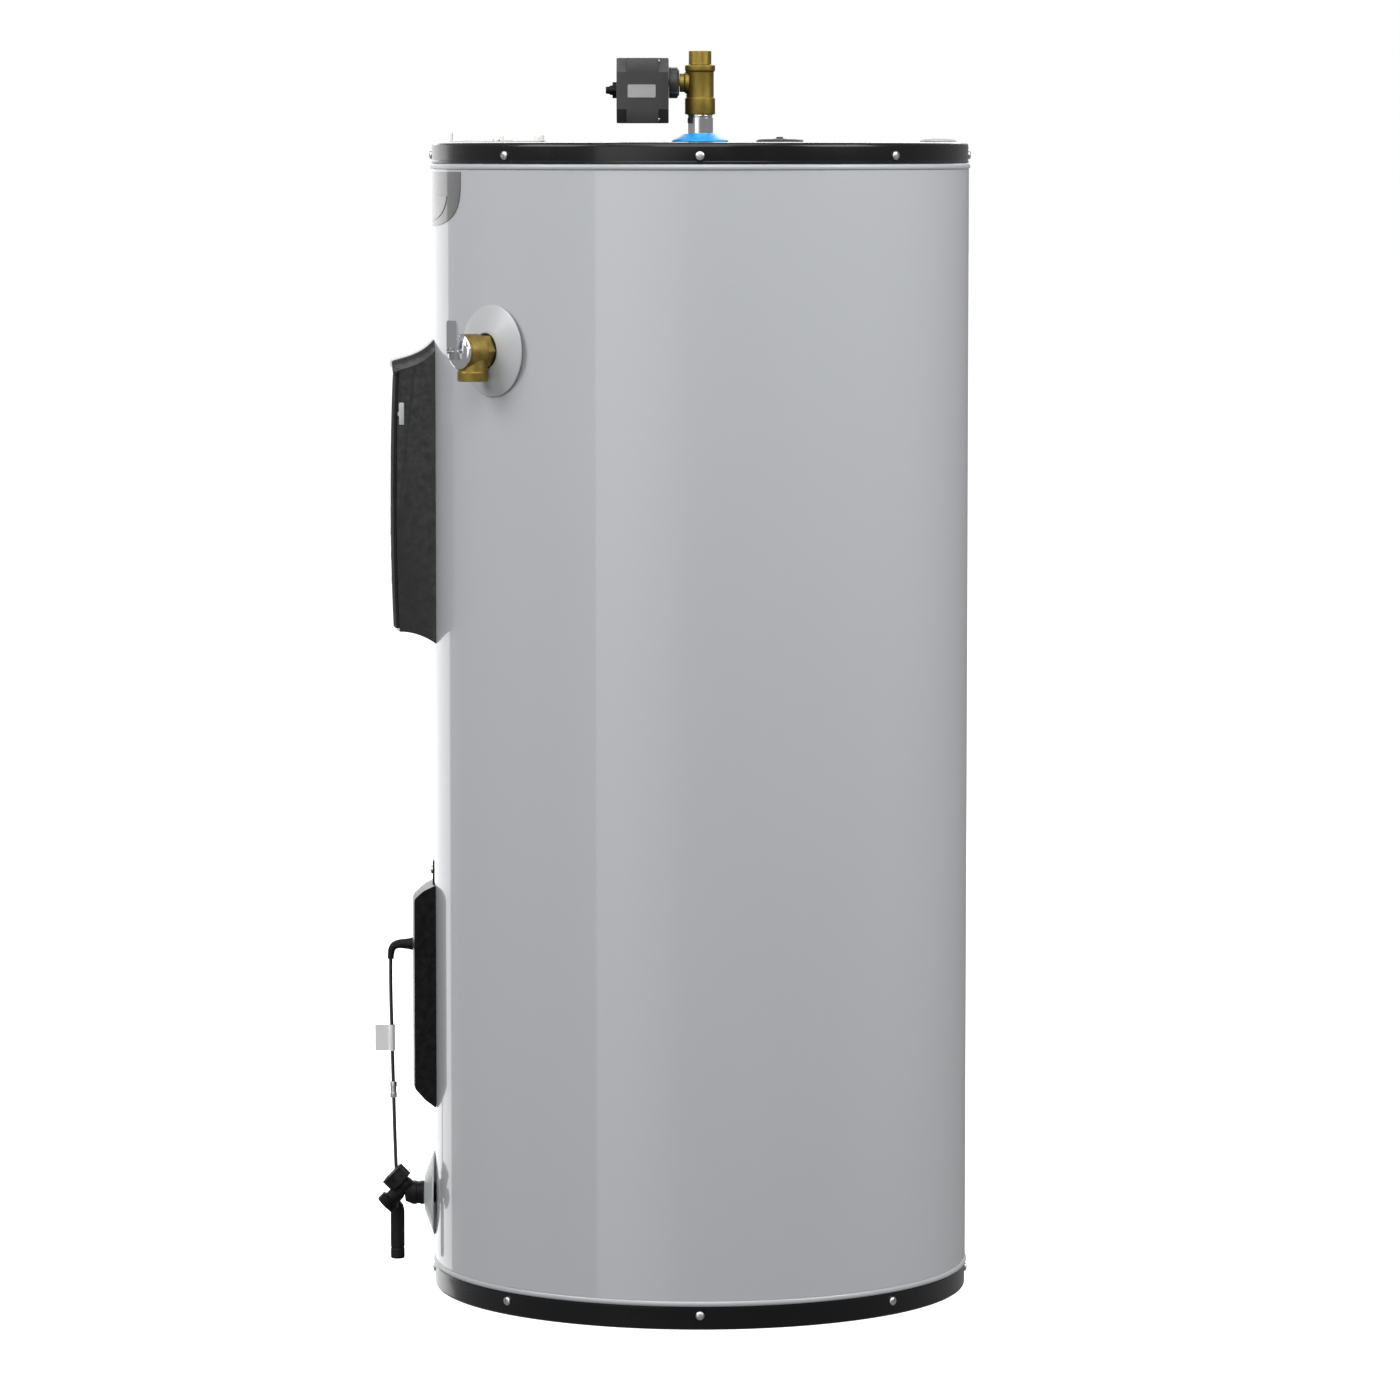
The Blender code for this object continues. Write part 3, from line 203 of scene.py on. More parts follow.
def make_looks():
    """Make every material, keyed by its slot name or by its use."""
    return {
        "grey_paint": surface(
            "jacket_paint", (0.500, 0.515, 0.540), 0.36, coat=0.8, coat_roughness=0.05, specular=0.35,
            grain=0.10, grain_scale=420.0, mottle=0.025, mottle_scale=3.0, rough_vary=0.03,
            stretch=(1.0, 1.0, 0.35),
        ),
        "pale_paint": surface(
            "trim_paint", (0.50, 0.515, 0.53), 0.34, coat=0.15, grain=0.08, mottle=0.03, wear=0.3,
            wear_colour=(0.75, 0.76, 0.77),
        ),
        "black_paint": surface(
            "cap_paint", (0.005, 0.005, 0.006), 0.26, coat=0.20, coat_roughness=0.10, specular=0.24,
            grain=0.12, grain_scale=520.0, mottle=0.12, rough_vary=0.04, wear=0.25,
            wear_colour=(0.07, 0.07, 0.07),
        ),
        "black_plastic": surface(
            "black_plastic", (0.006, 0.006, 0.007), 0.46, specular=0.14, grain=0.5, grain_scale=1100.0,
            mottle=0.10, wear=0.3, wear_colour=(0.05, 0.05, 0.05),
        ),
        "element_plastic": surface(
            "element_cover_plastic", (0.0050, 0.0050, 0.0055), 0.27, specular=0.12, grain=0.25,
            grain_scale=1100.0, mottle=0.04, wear=0.3, wear_colour=(0.04, 0.04, 0.04),
        ),
        "cover_plastic": surface(
            "cover_plastic", (0.032, 0.032, 0.033), 0.27, specular=0.32, grain=0.25, grain_scale=1000.0,
            mottle=0.03, wear=0.4, wear_colour=(0.12, 0.12, 0.12),
        ),
        "fascia_plastic": surface(
            "fascia_plastic", (0.020, 0.020, 0.021), 0.75, specular=0.08, grain=0.5, grain_scale=1100.0,
            mottle=0.05, wear=0.3, wear_colour=(0.09, 0.09, 0.09),
        ),
        "grey_plastic": surface(
            "housing_plastic", (0.037, 0.037, 0.038), 0.42, specular=0.35, grain=0.5, grain_scale=1100.0,
            mottle=0.06, wear=0.3, wear_colour=(0.12, 0.12, 0.12),
        ),
        "pale_plastic": surface(
            "pale_plastic", (0.52, 0.53, 0.54), 0.40, grain=0.3, mottle=0.04, wear=0.3,
            wear_colour=(0.68, 0.68, 0.68),
        ),
        "blue_plastic": surface(
            "blue_plastic", (0.012, 0.36, 0.84), 0.36, coat=0.05, specular=0.3, grain=0.15, mottle=0.05,
            wear=0.3, wear_colour=(0.25, 0.62, 0.95),
        ),
        "red_plastic": surface(
            "red_plastic", (0.62, 0.03, 0.02), 0.32, coat=0.3, grain=0.15, mottle=0.05, wear=0.3,
            wear_colour=(0.85, 0.25, 0.2),
        ),
        "white_plastic": surface(
            "white_enamel", (0.78, 0.78, 0.76), 0.35, coat=0.2, grain=0.12, mottle=0.03, wear=0.3,
            wear_colour=(0.9, 0.9, 0.88),
        ),
        "steel": surface(
            "screw_steel", (0.62, 0.62, 0.61), 0.34, metallic=1.0, grain=0.15, mottle=0.08, wear=0.4,
            wear_colour=(0.85, 0.85, 0.85),
        ),
        "chrome": surface(
            "chrome_plate", (0.78, 0.79, 0.81), 0.10, metallic=1.0, grain=0.04, mottle=0.03,
            rough_vary=0.04, wear=0.2, wear_colour=(0.95, 0.95, 0.95),
        ),
        "brass": surface(
            "cast_brass", (0.215, 0.152, 0.034), 0.48, metallic=0.95, specular=0.3, grain=0.7,
            grain_scale=700.0, mottle=0.10, mottle_scale=45.0, rough_vary=0.07, wear=0.5,
            wear_colour=(0.42, 0.31, 0.10),
        ),
        "bright_brass": surface(
            "turned_brass", (0.46, 0.31, 0.09), 0.28, metallic=1.0, grain=0.2, grain_scale=500.0,
            mottle=0.10, mottle_scale=30.0, wear=0.5, wear_colour=(0.75, 0.58, 0.25),
        ),
        "magnesium": surface("magnesium", (0.50, 0.50, 0.48), 0.60, metallic=0.8, grain=0.6, mottle=0.15),
        "foam": surface("foam", (0.75, 0.64, 0.36), 0.95, grain=1.0, grain_scale=260.0, mottle=0.12),
        "board": surface("board", (0.02, 0.17, 0.07), 0.45, grain=0.2, mottle=0.2, mottle_scale=80.0),
        "glass": surface(
            "display_lens", (0.006, 0.007, 0.009), 0.08, coat=1.0, coat_roughness=0.03, mottle=0.1,
            rough_vary=0.02, grain=0.02,
        ),
        "rubber": surface(
            "rubber", (0.010, 0.010, 0.010), 0.62, specular=0.2, grain=0.5, grain_scale=800.0, mottle=0.2,
            wear=0.3, wear_colour=(0.06, 0.06, 0.06),
        ),
        "cable": surface(
            "cable_jacket", (0.030, 0.030, 0.032), 0.40, grain=0.25, grain_scale=600.0, mottle=0.15,
        ),
        "paper": surface(
            "tag_paper", (0.93, 0.93, 0.92), 0.70, grain=0.5, grain_scale=500.0, mottle=0.05,
        ),
        "badge": surface(
            "badge_foil", (0.115, 0.116, 0.120), 0.42, coat=0.8, coat_roughness=0.06, grain=0.1,
            mottle=0.05, wear=0.3, wear_colour=(0.25, 0.25, 0.26),
        ),
        "badge_pale": surface(
            "badge_panel", (0.20, 0.20, 0.205), 0.42, coat=0.8, coat_roughness=0.06, grain=0.1,
            mottle=0.04, wear=0.3, wear_colour=(0.4, 0.4, 0.42),
        ),
        "nameplate": surface(
            "nameplate_foil", (0.36, 0.36, 0.36), 0.42, metallic=0.3, grain=0.15, mottle=0.04,
        ),
    }


LOOKS = make_looks()


# ---------------------------------------------------------------- mesh tools

def fillet(points, radius, closed=True, steps=3):
    """Round the corners of a flat outline."""
    count = len(points)
    out = []
    for k, point in enumerate(points):
        here = Vector(point)
        if not closed and k in (0, count - 1):
            out.append(tuple(here))
            continue
        back = Vector(points[k - 1]) - here
        ahead = Vector(points[(k + 1) % count]) - here
        reach = min(radius, back.length * 0.45, ahead.length * 0.45)
        turn = back.angle(ahead, pi)
        if reach < 1e-5 or turn > radians(172.0):
            out.append(tuple(here))
            continue
        start = here + back.normalized() * reach
        end = here + ahead.normalized() * reach
        for step in range(steps + 1):
            t = step / steps
            out.append(tuple(start * (1 - t) ** 2 + here * 2 * t * (1 - t) + end * t ** 2))
    return out


def as_object(name, bm, at=HERE):
    """Turn a bmesh into an object with its shape in the shared frame."""
    bmesh.ops.transform(bm, matrix=at, verts=bm.verts)
    bmesh.ops.recalc_face_normals(bm, faces=bm.faces[:])
    mesh = bpy.data.meshes.new(name)
    bm.to_mesh(mesh)
    bm.free()
    obj = bpy.data.objects.new(name, mesh)
    bpy.context.collection.objects.link(obj)
    return obj


def turned(name, profile, at=HERE, steps=ROUND_STEPS, sweep=tau, ripple=None):
    """Turn a closed (radius, height) profile about the frame's Z axis."""
    bm = bmesh.new()
    ring = [bm.verts.new((radius, 0.0, height)) for radius, height in profile]
    for first, second in zip(ring, ring[1:] + ring[:1]):
        if first.co.x > 0.0 or second.co.x > 0.0:
            bm.edges.new((first, second))
    bmesh.ops.spin(bm, geom=bm.verts[:] + bm.edges[:], cent=(0, 0, 0), axis=(0, 0, 1), dvec=(0, 0, 0),
                   angle=sweep, steps=steps, use_merge=sweep == tau)
    bmesh.ops.remove_doubles(bm, verts=bm.verts[:], dist=1e-6)
    if sweep < tau:
        rim = [edge for edge in bm.edges if edge.is_boundary]
        bmesh.ops.holes_fill(bm, edges=rim, sides=0)
    if ripple:
        for vert in bm.verts:
            vert.co = ripple(vert.co)
    return as_object(name, bm, at)


def drum(name, radius, low, high, at=HERE, steps=ROUND_STEPS, bore=0.0):
    """A round bar, or a tube where it has a bore."""
    return turned(name, [(bore, low), (radius, low), (radius, high), (bore, high)], at, steps)


def extruded(name, outline, low, high, at=HERE):
    """An outline in the frame's XY plane, extruded along its Z axis."""
    bm = bmesh.new()
    face = bm.faces.new([bm.verts.new((x, y, low)) for x, y in outline])
    grown = bmesh.ops.extrude_face_region(bm, geom=[face])
    raised = [item for item in grown["geom"] if isinstance(item, bmesh.types.BMVert)]
    bmesh.ops.translate(bm, verts=raised, vec=(0, 0, high - low))
    return as_object(name, bm, at)


def box(name, low, high, at=HERE, edge=0.0):
    """A box between two corners with rounded edges."""
    bm = bmesh.new()
    middle = (Vector(low) + Vector(high)) / 2
    size = Vector(high) - Vector(low)
    bmesh.ops.create_cube(bm, size=1.0, matrix=Matrix.Translation(middle) @ Matrix.Diagonal((*size, 1)))
    if edge > 0.0:
        bmesh.ops.bevel(bm, geom=bm.edges[:], offset=edge, segments=2, profile=0.5, affect="EDGES")
    return as_object(name, bm, at)


def swept(name, points, radii, steps=24):
    """A round tube through points, with a radius at each point and closed ends."""
    bm = bmesh.new()
    route = [Vector(point) for point in points]
    rings = []
    across = Vector((1.0, 0.0, 0.0))
    for k, point in enumerate(route):
        along = (route[min(k + 1, len(route) - 1)] - route[max(k - 1, 0)]).normalized()
        across = (across - along * across.dot(along)).normalized()
        other = along.cross(across)
        rings.append([
            bm.verts.new(point + radii[k] * (cos(j * tau / steps) * across + sin(j * tau / steps) * other))
            for j in range(steps)
        ])
    for first, second in zip(rings, rings[1:]):
        for j in range(steps):
            bm.faces.new((first[j], first[(j + 1) % steps], second[(j + 1) % steps], second[j]))
    bm.faces.new(rings[0][::-1])
    bm.faces.new(rings[-1])
    return as_object(name, bm)


def boolean(target, operation, *tools):
    """Join tools to a target or cut them from it, and keep one clean mesh."""
    for tool in tools:
        step = target.modifiers.new("step", "BOOLEAN")
        step.operation = operation
        step.solver = "EXACT"
        step.object = tool
    graph = bpy.context.evaluated_depsgraph_get()
    shape = bpy.data.meshes.new_from_object(target.evaluated_get(graph))
    target.modifiers.clear()
    target.data = shape
    for tool in tools:
        bpy.data.objects.remove(tool)


def finish_piece(obj, look, body="root", stands_for=(), sharp=32.0, bevel=0.0):
    """Shade a piece, give it its material, and put it on its CAD body."""
    obj.data.materials.clear()
    obj.data.materials.append(LOOKS[look])
    obj.data.shade_smooth()
    obj.data.set_sharp_from_angle(angle=radians(sharp))
    if bevel > 0.0:
        soften = obj.modifiers.new("soften", "BEVEL")
        soften.width = bevel
        soften.segments = 2
        soften.limit_method = "ANGLE"
        soften.angle_limit = radians(30.0)
        soften.harden_normals = True
    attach(obj, body)
    if stands_for:
        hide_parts(*stands_for)


def outward(azimuth, height=0.0):
    """A frame on the tank's axis: its Z points out, its Y up and its X sideways."""
    out = Vector((cos(azimuth), sin(azimuth), 0.0))
    up = Vector((0.0, 0.0, 1.0))
    turn = Matrix((up.cross(out), up, out)).transposed().to_4x4()
    return Matrix.Translation((0.0, 0.0, height)) @ turn


def upright(x, y, z=0.0, turn=0.0):
    """A frame whose Z stays up, moved sideways and turned about itself."""
    return Matrix.Translation((x, y, z)) @ Matrix.Rotation(radians(turn), 4, "Z")


def hexagon(across_flats):
    """The corners of a hexagon."""
    reach = across_flats / sqrt(3.0)
    return [(reach * cos(k * pi / 3), reach * sin(k * pi / 3)) for k in range(6)]


def ball_profile(radius, degrees):
    """Half a ball's outline through some latitudes, as (radius, height) points going up."""
    arc = [(radius * cos(radians(angle)), radius * sin(radians(angle))) for angle in degrees]
    return [(0.0, -radius), *arc, (0.0, radius)]


def threads(radius, low, high, pitch=0.0018, depth=0.0008):
    """The outline of a run of pipe thread, as (radius, height) points going up."""
    count = max(1, int((high - low) / pitch))
    step = (high - low) / count
    points = []
    for k in range(count):
        base = low + k * step
        points += [(radius - depth, base + 0.08 * step), (radius, base + 0.42 * step),
                   (radius, base + 0.58 * step), (radius - depth, base + 0.92 * step)]
    return points


def cross_screw(name, radius, height, at):
    """A domed screw head with a cross recess, standing on the frame's XY plane."""
    foot = -0.0010
    shape = ((0.88, 0.66), (0.60, 0.92), (0.25, 1.0), (0.0, 1.0))
    dome = [(0.0, foot), (radius * 0.7, foot), (radius * 0.98, 0.0), (radius, height * 0.25)]
    dome += [(radius * across, height * up) for across, up in shape]
    head = turned(name, dome, at, 32)
    reach, half = radius * 0.58, radius * 0.11
    slots = [
        box("slot_a", (-reach, -half, height * 0.45), (reach, half, height * 2), at),
        box("slot_b", (-half, -reach, height * 0.45), (half, reach, height * 2), at),
    ]
    boolean(head, "DIFFERENCE", *slots)
    finish_piece(head, "steel", sharp=40.0)


def bent_sheet(name, outline, low, high, at_azimuth, cell=0.0022):
    """A flat outline of (sideways, height) points laid on the jacket between two radii."""
    bm = bmesh.new()
    face = bm.faces.new([bm.verts.new((x, y, 0.0)) for x, y in outline])
    left, right = min(x for x, _ in outline), max(x for x, _ in outline)
    cut_x = left + cell
    while cut_x < right:
        bmesh.ops.bisect_plane(bm, geom=bm.verts[:] + bm.edges[:] + bm.faces[:], plane_co=(cut_x, 0, 0),
                               plane_no=(1, 0, 0))
        cut_x += cell
    grown = bmesh.ops.extrude_face_region(bm, geom=bm.faces[:])
    for item in grown["geom"]:
        if isinstance(item, bmesh.types.BMVert):
            item.co.z = 1.0
    for vert in bm.verts:
        rho = high if vert.co.z > 0.5 else low
        angle = at_azimuth + vert.co.x / JACKET_R
        vert.co = Vector((rho * cos(angle), rho * sin(angle), vert.co.y))
    return as_object(name, bm)


# ---------------------------------------------------------------- shell

def rounded_shield(half, top, drop, cut_top):
    """The lower half of a squarish oval, cut off straight at a height."""
    points = []
    for k in range(97):
        angle = pi * k / 96
        x = half * abs(cos(angle)) ** SHIELD_POWER * (1.0 if angle < pi / 2 else -1.0)
        z = top - drop * sin(angle) ** SHIELD_POWER
        if z <= cut_top + 1e-6:
            points.append((x, z))
    return points


def build_shell():
    """The jacket with its lock seam, the end covers, the trim rings, the screws and the badge."""
    low = PAN_H + GAP + RING_H + GAP
    high = CAP_SKIRT_Z - GAP - RING_H - GAP
    inner = JACKET_R - SHEET
    seam_half, seam_lift = radians(1.1), 0.0007

    def lock_seam(co):
        """Raise the sheet where its two edges fold over each other at the back."""
        angle = Vector((co.x, co.y)).angle_signed(Vector((0.0, 1.0)))
        lift = seam_lift if abs(angle) < seam_half else 0.0
        rho = Vector((co.x, co.y)).length
        grow = (rho + lift) / rho if rho > inner + 0.0002 else 1.0
        return Vector((co.x * grow, co.y * grow, co.z))

    jacket = turned("jacket_sheet", [(inner, low), (JACKET_R, low), (JACKET_R, high), (inner, high)],
                    steps=SHELL_STEPS * 2, ripple=lock_seam)
    finish_piece(jacket, "grey_paint", stands_for=("jacket",), sharp=25.0)

    rim = 0.0046
    cap = [
        (JACKET_R - 0.0004, CAP_SKIRT_Z), (JACKET_R + 0.0002, CAP_SKIRT_Z + 0.0006),
        (JACKET_R + 0.0002, CAP_SKIRT_Z + 0.0022), (JACKET_R - 0.0003, CAP_SKIRT_Z + 0.0030),
    ]
    cap += [
        (JACKET_R - rim + rim * cos(k * pi / 12), TOTAL_H - rim + rim * sin(k * pi / 12)) for k in range(7)
    ]
    groove = ((0.2742, 0.0), (0.2728, 0.0005), (0.2712, 0.0009), (0.2694, 0.0009), (0.2678, 0.0005),
              (0.2664, 0.0))
    cap += [(rho, TOTAL_H - depth) for rho, depth in groove]
    cap += [(0.0, TOTAL_H), (0.0, TOTAL_H - SHEET), (inner, TOTAL_H - SHEET), (inner, CAP_SKIRT_Z)]
    shell = turned("top_cover", cap, steps=SHELL_STEPS)
    holes = ((0.0155, PORT_X, 0), (0.0155, -PORT_X, 0), (0.0190, 0, ANODE_Y))
    boolean(shell, "DIFFERENCE", *(drum("tool", radius, 1.19, 1.21, upright(x, y)) for radius, x, y in holes))
    finish_piece(shell, "black_paint", stands_for=("top_cap",), sharp=30.0)

    bend = 0.0030
    pan = [(0.0, 0.0), (JACKET_R - bend, 0.0)]
    pan += [(JACKET_R - bend + bend * sin(k * pi / 8), bend - bend * cos(k * pi / 8)) for k in range(1, 5)]
    pan += [(JACKET_R, PAN_H - 0.0030), (JACKET_R + 0.0003, PAN_H - 0.0022),
            (JACKET_R + 0.0003, PAN_H - 0.0006), (JACKET_R - 0.0002, PAN_H), (inner, PAN_H), (inner, SHEET),
            (0.0, SHEET)]
    base = turned("base_pan_shell", pan, steps=SHELL_STEPS)
    finish_piece(base, "black_paint", stands_for=("base_pan",), sharp=30.0)

    for name, node, start in (("base_bead", "base_trim_ring", PAN_H + GAP),
                              ("top_bead", "top_trim_ring", CAP_SKIRT_Z - GAP - RING_H)):
        middle, half, bulge = start + RING_H / 2, RING_H / 2, 0.0018
        bead = [(JACKET_R - bulge, start)]
        bead += [
            (JACKET_R + 0.0002 + bulge * cos(a), middle + half * sin(a))
            for a in (radians(-90 + 20 * k) for k in range(10))
        ]
        bead.append((JACKET_R - bulge, start + RING_H))
        ring = turned(name, bead, steps=SHELL_STEPS)
        finish_piece(ring, "pale_paint", stands_for=(node,), sharp=40.0)

    for key, height in RIM_SCREW_Z.items():
        for k in range(RIM_SCREWS):
            at = outward(k * tau / RIM_SCREWS, height) @ Matrix.Translation((0, 0, JACKET_R + 0.0001))
            at = at @ Matrix.Rotation(radians(20.0 + 37.0 * k), 4, "Z")
            cross_screw(f"{key}_rim_screw_{k}", 0.0046, 0.0027, at)

    shield = rounded_shield(EMBLEM_HALF, EMBLEM_TOP_Z, EMBLEM_DROP, EMBLEM_TOP_Z)
    badge = bent_sheet("emblem_badge", shield, JACKET_R + 0.0001, JACKET_R + 0.0009, FRONT)
    finish_piece(badge, "badge", sharp=40.0)
    panel = fillet(rounded_shield(PANEL_HALF, EMBLEM_TOP_Z, PANEL_DROP, PANEL_TOP_Z), 0.006, steps=5)
    inset = bent_sheet("emblem_panel", panel, JACKET_R + 0.0010, JACKET_R + 0.0015, FRONT)
    finish_piece(inset, "badge_pale", sharp=40.0)


# ---------------------------------------------------------------- top fittings

def build_top():
    """Pipes, rings, plugs and the junction box cover."""
    seat = TOTAL_H + GAP
    for name, node, x, top in (("cold_nipple", "cold_inlet_nipple", PORT_X, COLD_PIPE_TOP_Z),
                               ("hot_nipple", "hot_outlet_nipple", -PORT_X, HOT_PIPE_TOP_Z)):
        thread_z = top - 0.0150
        outside = [(PIPE_R, PIPE_FOOT_Z), (PIPE_R, thread_z)] + threads(PIPE_R, thread_z, top - 0.0006)
        outside += [(PIPE_R - 0.0010, top), (PIPE_BORE_R, top), (PIPE_BORE_R, PIPE_FOOT_Z)]
        pipe = turned(name, outside, upright(x, 0))
        finish_piece(pipe, "chrome", stands_for=(node,), sharp=28.0)
    collar = fillet([
        (PIPE_R + GAP, seat), (0.0290, seat), (0.0290, seat + 0.0018), (0.0225, seat + 0.0050),
        (0.0165, seat + 0.0090), (PIPE_R + GAP, seat + 0.0090),
    ], 0.0012)
    for name, node, x, look in (("cold_ring", "cold_inlet_ring", PORT_X, "blue_plastic"),
                                ("hot_ring", "hot_outlet_ring", -PORT_X, "red_plastic")):
        ring = turned(name, collar, upright(x, 0), 96)
        finish_piece(ring, look, stands_for=(node,), sharp=35.0)

    plug = fillet([
        (0.0, seat), (0.0246, seat), (0.0246, seat + 0.0016), (0.0222, seat + 0.0030),
        (0.0185, seat + 0.0030), (0.0178, seat + 0.0023), (0.0080, seat + 0.0023), (0.0072, seat + 0.0034),
        (0.0042, seat + 0.0036), (0.0032, seat + 0.0053), (0.0, seat + 0.0055),
    ], 0.0006, closed=False)
    piece = turned("anode_plug", plug, upright(0, ANODE_Y), 96)
    finish_piece(piece, "grey_plastic", stands_for=("anode_access_plug",))
    dome = fillet([
        (0.0, seat - 0.0150), (0.0130, seat - 0.0150), (0.0130, seat), (0.0192, seat),
        (0.0192, seat + 0.0012), (0.0165, seat + 0.0034), (0.0095, seat + 0.0054), (0.0, seat + 0.0060),
    ], 0.0012, closed=False)
    piece = turned("fill_plug", dome, upright(0, FILL_PLUG_Y), 96)
    finish_piece(piece, "pale_plastic", stands_for=("foam_fill_plug",))

    plate = 0.0485
    outline = fillet([(-plate, -plate), (plate, -plate), (plate, plate), (-plate, plate)], 0.007, steps=6)
    at = upright(0, BOX_Y)
    cover = extruded("box_cover", outline, seat, seat + 0.0012, at)
    lip = box("tool", (-0.0150, -plate, seat + 0.0002), (0.0150, -plate + 0.0012, seat + 0.0095), at, 0.0004)
    clamp = box("tool", (-0.0060, plate - 0.0105, seat + 0.0002), (0.0060, plate - 0.0005, seat + 0.0075),
                at, 0.0010)
    knockout = turned("tool", [(0.0150, seat + 0.0010), (0.0168, seat + 0.0010), (0.0162, seat + 0.0020),
                               (0.0156, seat + 0.0020)], at)
    boolean(cover, "UNION", lip, clamp, knockout)
    finish_piece(cover, "white_plastic", stands_for=("junction_box_cover",), sharp=35.0)
    for key, sign in (("left", -1), ("right", 1)):
        at = upright(sign * 0.0400, BOX_Y, seat + 0.0012)
        cross_screw(f"box_cover_screw_{key}", 0.0040, 0.0024, at)
    strap = box("box_cover_strap", (-0.0070, -0.0022, seat + 0.0012), (0.0070, 0.0022, seat + 0.0060),
                upright(0, BOX_Y + 0.0035), 0.0008)
    finish_piece(strap, "white_plastic")


def build_shutoff():
    """The brass ball valve on the cold inlet and its motor drive."""
    at = upright(PORT_X, 0, 0, 5)
    socket_top = COLD_PIPE_TOP_Z + GAP
    socket_r = PIPE_R + 2 * GAP
    ends_r, waist_r, neck_r, bore_r = 0.0155, 0.0141, 0.0116, 0.0094
    outside = fillet([
        (socket_r, VALVE_FOOT_Z), (ends_r, VALVE_FOOT_Z), (ends_r, 1.2450), (waist_r, 1.2458),
        (waist_r, 1.2722), (ends_r, 1.2729), (ends_r, 1.2787), (neck_r, 1.2795), (neck_r, VALVE_TOP_Z),
        (bore_r, VALVE_TOP_Z),
    ], 0.0007, closed=False)
    inside = threads(bore_r, 1.2812, VALVE_TOP_Z - 0.0008, depth=0.0006)[::-1]
    inside += [(0.0075, 1.2805), (0.0075, socket_top), (socket_r, socket_top)]
    body = turned("valve_casting", outside + inside, at, 96)
    side = outward(FRONT, VALVE_Z)
    side.translation.x = PORT_X
    boss = turned("tool", fillet([(0.0, 0.0110), (0.0112, 0.0110), (0.0112, 0.0150), (0.0096, 0.0162),
                                  (0.0096, 0.0210), (0.0, 0.0210)], 0.0006, closed=False), side)
    boolean(body, "UNION", boss)
    chamber = ball_profile(BALL_SEAT_R, range(-80, 90, 10))
    boolean(body, "DIFFERENCE", drum("tool", 0.0038, 0.0050, 0.0300, side, 32),
            turned("tool", chamber, upright(PORT_X, 0, VALVE_Z)))
    finish_piece(body, "brass", stands_for=("shutoff_valve_body",), sharp=35.0)

    ring = turned("drive_mount_ring", fillet([
        (0.0060, 0.0213), (0.0128, 0.0213), (0.0140, 0.0225), (0.0160, 0.0235), (0.0160, 0.0319),
        (0.0060, 0.0319),
    ], 0.0006), side)
    lugs = []
    for k in range(4):
        spin = side @ Matrix.Rotation(radians(45 + 90 * k), 4, "Z")
        lugs.append(box("tool", (0.0120, -0.0020, 0.0221), (0.0163, 0.0020, 0.0318), spin, 0.0005))
    boolean(ring, "UNION", *lugs)
    finish_piece(ring, "grey_plastic", stands_for=("actuator_mount_ring",))

    (near_y, far_y), (low_z, high_z), (back_x, front_x) = ACTUATOR_Y, ACTUATOR_Z, ACTUATOR_X
    housing = box("drive_housing", (back_x, near_y, low_z), (ACTUATOR_SPLIT_X, far_y, high_z), edge=0.0012)
    hollow = box("tool", (back_x + COVER_WALL, near_y + COVER_WALL, low_z + COVER_WALL),
                 (front_x, far_y - COVER_WALL, high_z - COVER_WALL))
    boolean(housing, "DIFFERENCE", hollow, drum("tool", 0.0048, 0.0250, 0.0400, side, 32))
    finish_piece(housing, "grey_plastic", stands_for=("actuator_housing",))
    cover = box("drive_cover", (ACTUATOR_SPLIT_X + GAP, near_y, low_z), (front_x, far_y, high_z), edge=0.0010)
    slope, pocket = 0.0082, 0.0112
    upended = Matrix.Rotation(pi / 2, 4, "X")
    spare = 0.0010
    tools = []
    for edge_z, sign in ((high_z, 1.0), (low_z, -1.0)):
        for start in (near_y - spare, far_y - pocket + spare):
            wedge = [(front_x + spare, edge_z - sign * 0.0150), (front_x + spare, edge_z + sign * spare),
                     (front_x - slope, edge_z + sign * spare), (front_x - slope, edge_z),
                     (front_x, edge_z - sign * 0.0142)]
            tools.append(extruded("tool", wedge, -start - pocket, -start, upended))
    boolean(cover, "DIFFERENCE", *tools)
    finish_piece(cover, "grey_plastic", stands_for=("actuator_cover",), bevel=0.0004)
    for key, z in (("top", high_z - 0.0032), ("foot", low_z + 0.0040)):
        turn = Matrix.Translation((front_x - 0.0054, far_y - 0.0104, z)) @ Matrix.Rotation(pi / 2, 4, "Y")
        cross_screw(f"drive_screw_{key}", 0.0017, 0.0012, turn)
    plate = fillet([(-0.01425, -0.0066), (0.01425, -0.0066), (0.01425, 0.0066), (-0.01425, 0.0066)], 0.0012)
    label_at = Matrix.Translation((front_x + 0.0001, -0.05955, 1.2523)) @ FACING_X
    label = extruded("drive_nameplate", plate, 0.0, 0.0004, label_at)
    finish_piece(label, "nameplate")

    gland_at = outward(FRONT, VALVE_Z - 0.0077)
    gland_at.translation.x = PORT_X
    gland = extruded("drive_cable_gland", fillet(hexagon(0.0165), 0.0008), GAP - near_y, 0.0044 - near_y,
                     gland_at)
    nub_shape = ((0.0, 0.0030), (0.0052, 0.0030), (0.0050, 0.0060), (0.0038, 0.0085), (0.0036, 0.0113),
                 (0.0, 0.0113))
    nub = turned("tool", [(radius, reach - near_y) for radius, reach in nub_shape], gland_at)
    boolean(gland, "UNION", nub)
    boolean(gland, "DIFFERENCE", drum("tool", 0.0022, -near_y - 0.01, -near_y + 0.02, gland_at, 24))
    finish_piece(gland, "black_plastic", stands_for=("actuator_cable_gland",), bevel=0.0003)


# ---------------------------------------------------------------- side and front fittings

